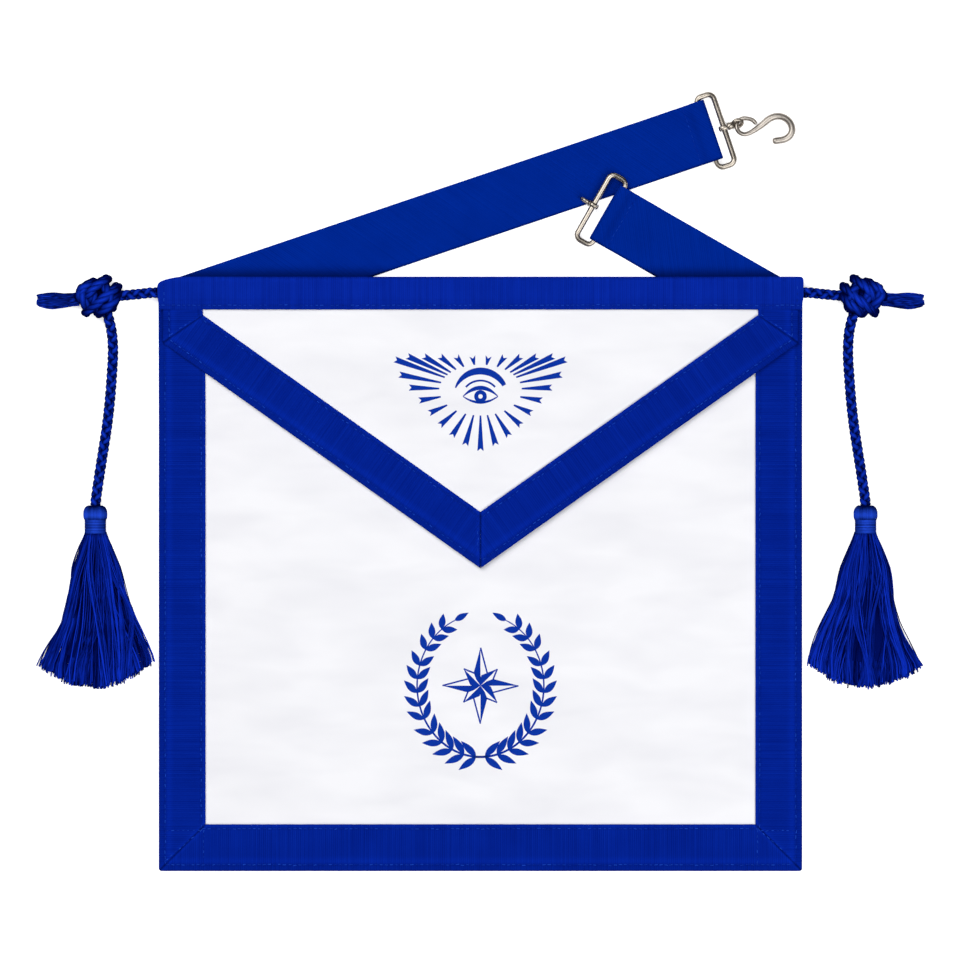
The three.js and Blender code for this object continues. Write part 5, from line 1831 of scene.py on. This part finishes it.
# Half the outline that the rays reach, in mm from the middle, from its point up to its top
GLORY_HALF = [(0, -38.5), (11, -34.5), (20, -28), (28, -20.5), (39.5, -6), (53.5, 12.5), (54.5, 21.5)]
RAYS = 27
CLEAR_HALF_WIDTH = 26 * MM  # of the oval that is left clear for the eye
CLEAR_HALF_HEIGHT = 16 * MM
RAY_NOTCH = 1.7 * MM  # cut into each ray's broad end
RAY_STEPS = 9


def glory_ends():
    """Ends of the rays, evenly spaced along a shield with its point down."""
    right = [GLORY_CENTRE + Vector(p) * MM for p in GLORY_HALF]
    left = [Vector((-p.x, p.y)) for p in reversed(right)]
    corners = right + left
    lengths = [(q - p).length for p, q in zip(corners, corners[1:])]
    ends = []
    for k in range(RAYS):
        distance = sum(lengths) * k / RAYS
        side = 0
        while distance > lengths[side]:
            distance -= lengths[side]
            side += 1
        ends.append(corners[side].lerp(corners[side + 1], distance / lengths[side]))
    return ends


def ray(heap, end):
    """A ray that widens outwards and ends in a notch, as two halves side by side."""
    way = (end - GLORY_CENTRE).normalized()
    aside = np.array([-way.y, way.x])
    inner = 1 / math.hypot(way.x / CLEAR_HALF_WIDTH, way.y / CLEAR_HALF_HEIGHT)
    outer = (end - GLORY_CENTRE).length
    shares = np.linspace(0, 1, RAY_STEPS)
    half = (0.5 + 1.45 * shares) * MM
    middle, way = np.array(GLORY_CENTRE), np.array(way)
    centre = middle + (inner + (outer - inner) * shares)[:, None] * way
    notched = middle + (inner + (outer - RAY_NOTCH - inner) * shares)[:, None] * way
    left = centre + aside * half[:, None]
    right = centre - aside * half[:, None]
    stroke(heap, left.tolist(), notched.tolist(), flap_top)
    stroke(heap, notched.tolist(), right.tolist(), flap_top)


flap_ink = Heap()
for end in glory_ends():
    ray(flap_ink, end)

# %% The eye
EYE_CENTRE = (0, 112 * MM)
EYE_HALF = 11
LID_POINTS = 25
# Each lid: above or below, how far its middle stands off and how much thicker it is, in mm
LIDS = [(1, 5.4, 2.2), (-1, 3.8, 1.2)]
heap = flap_ink
for lid, lift, width in LIDS:
    curve = []
    for x in np.linspace(-EYE_HALF, EYE_HALF, LID_POINTS) * MM:
        bow = 1 - (x / (EYE_HALF * MM)) ** 2
        curve.append((x, EYE_CENTRE[1] + lid * lift * MM * bow))
    swell = np.sin(np.linspace(0, math.pi, LID_POINTS))
    pen(heap, curve, (0.5 + width * swell) * MM, flap_top)
pen(heap, arc(EYE_CENTRE, 2.7 * MM, 2.7 * MM, 0, 345, 24), 2.6 * MM, flap_top, closed=True)
lash = arc((0, EYE_CENTRE[1] - 1.5 * MM), 12 * MM, 11.5 * MM, 140, 40)
pen(heap, lash, 1.2 * MM, flap_top)
brow = arc((0, EYE_CENTRE[1] - 1 * MM), 17 * MM, 17 * MM, 158, 28)
brow_swell = np.sin(np.linspace(0, math.pi, len(brow)) ** 0.8) ** 1.2
pen(heap, brow, (0.8 + 3.6 * brow_swell) * MM, flap_top)
make_piece("flap_print", heap, ink)

# %% The wreath and star
WREATH_CENTRE = (0, -70.5 * MM)
WREATH_RX = 40 * MM
WREATH_RY = 45 * MM
BRANCH_POINTS = 60
LEAF_PAIRS = 13
LEAF_WIDTH = 4.3 * MM
LEAF_LEAN = 0.85
STAR_POINTS = 8
LONG_POINT = 24 * MM
SHORT_POINT = 15 * MM


def leaf(heap, root, way, length, width, surface):
    way = np.array(way) / np.linalg.norm(way)
    shares = np.linspace(0, 1, 9)
    path = np.array(root)[None, :] + shares[:, None] * way * length
    pen(heap, path, width * np.sin(np.pi * shares**0.8) + 0.12 * MM, surface)


heap = Heap()
for sign in SIDES.values():
    branch = arc(WREATH_CENTRE, sign * WREATH_RX, WREATH_RY, -97, 66, BRANCH_POINTS)
    pen(heap, branch, np.linspace(1.5, 0.7, BRANCH_POINTS) * MM, panel_top)
    for k in range(LEAF_PAIRS):
        i = int(4 + k * 4.2)
        along = branch[min(i + 2, BRANCH_POINTS - 1)] - branch[i - 2]
        along /= np.linalg.norm(along)
        aside = np.array([-along[1], along[0]])
        length = (13.5 - 0.32 * k) * MM  # leaves are shorter towards the branch's end
        for lean in (LEAF_LEAN, -LEAF_LEAN):
            root = branch[i] + 0.5 * MM * lean * aside
            leaf(heap, root, along + lean * aside, length, LEAF_WIDTH, panel_top)
    leaf(heap, branch[-1], branch[-1] - branch[-3], 10 * MM, 3.8 * MM, panel_top)
base = np.array(WREATH_CENTRE)
for k in range(STAR_POINTS):
    angle = math.pi / 2 + k * math.pi / 4
    way = np.array([math.cos(angle), math.sin(angle)])
    aside = np.array([-way[1], way[0]])
    reach = LONG_POINT if k % 2 == 0 else SHORT_POINT
    shares = np.linspace(0, 1, 7)
    path = base + shares[:, None] * way * reach
    half = np.interp(shares, [0, 0.28, 1], [0.0, 4.6, 0.05])[:, None] * MM
    stroke(heap, (path + aside * half).tolist(), path.tolist(), panel_top)
    tip = path - aside * half
    pen(heap, tip[1:], 1 * MM, panel_top)
make_piece("panel_print", heap, ink)
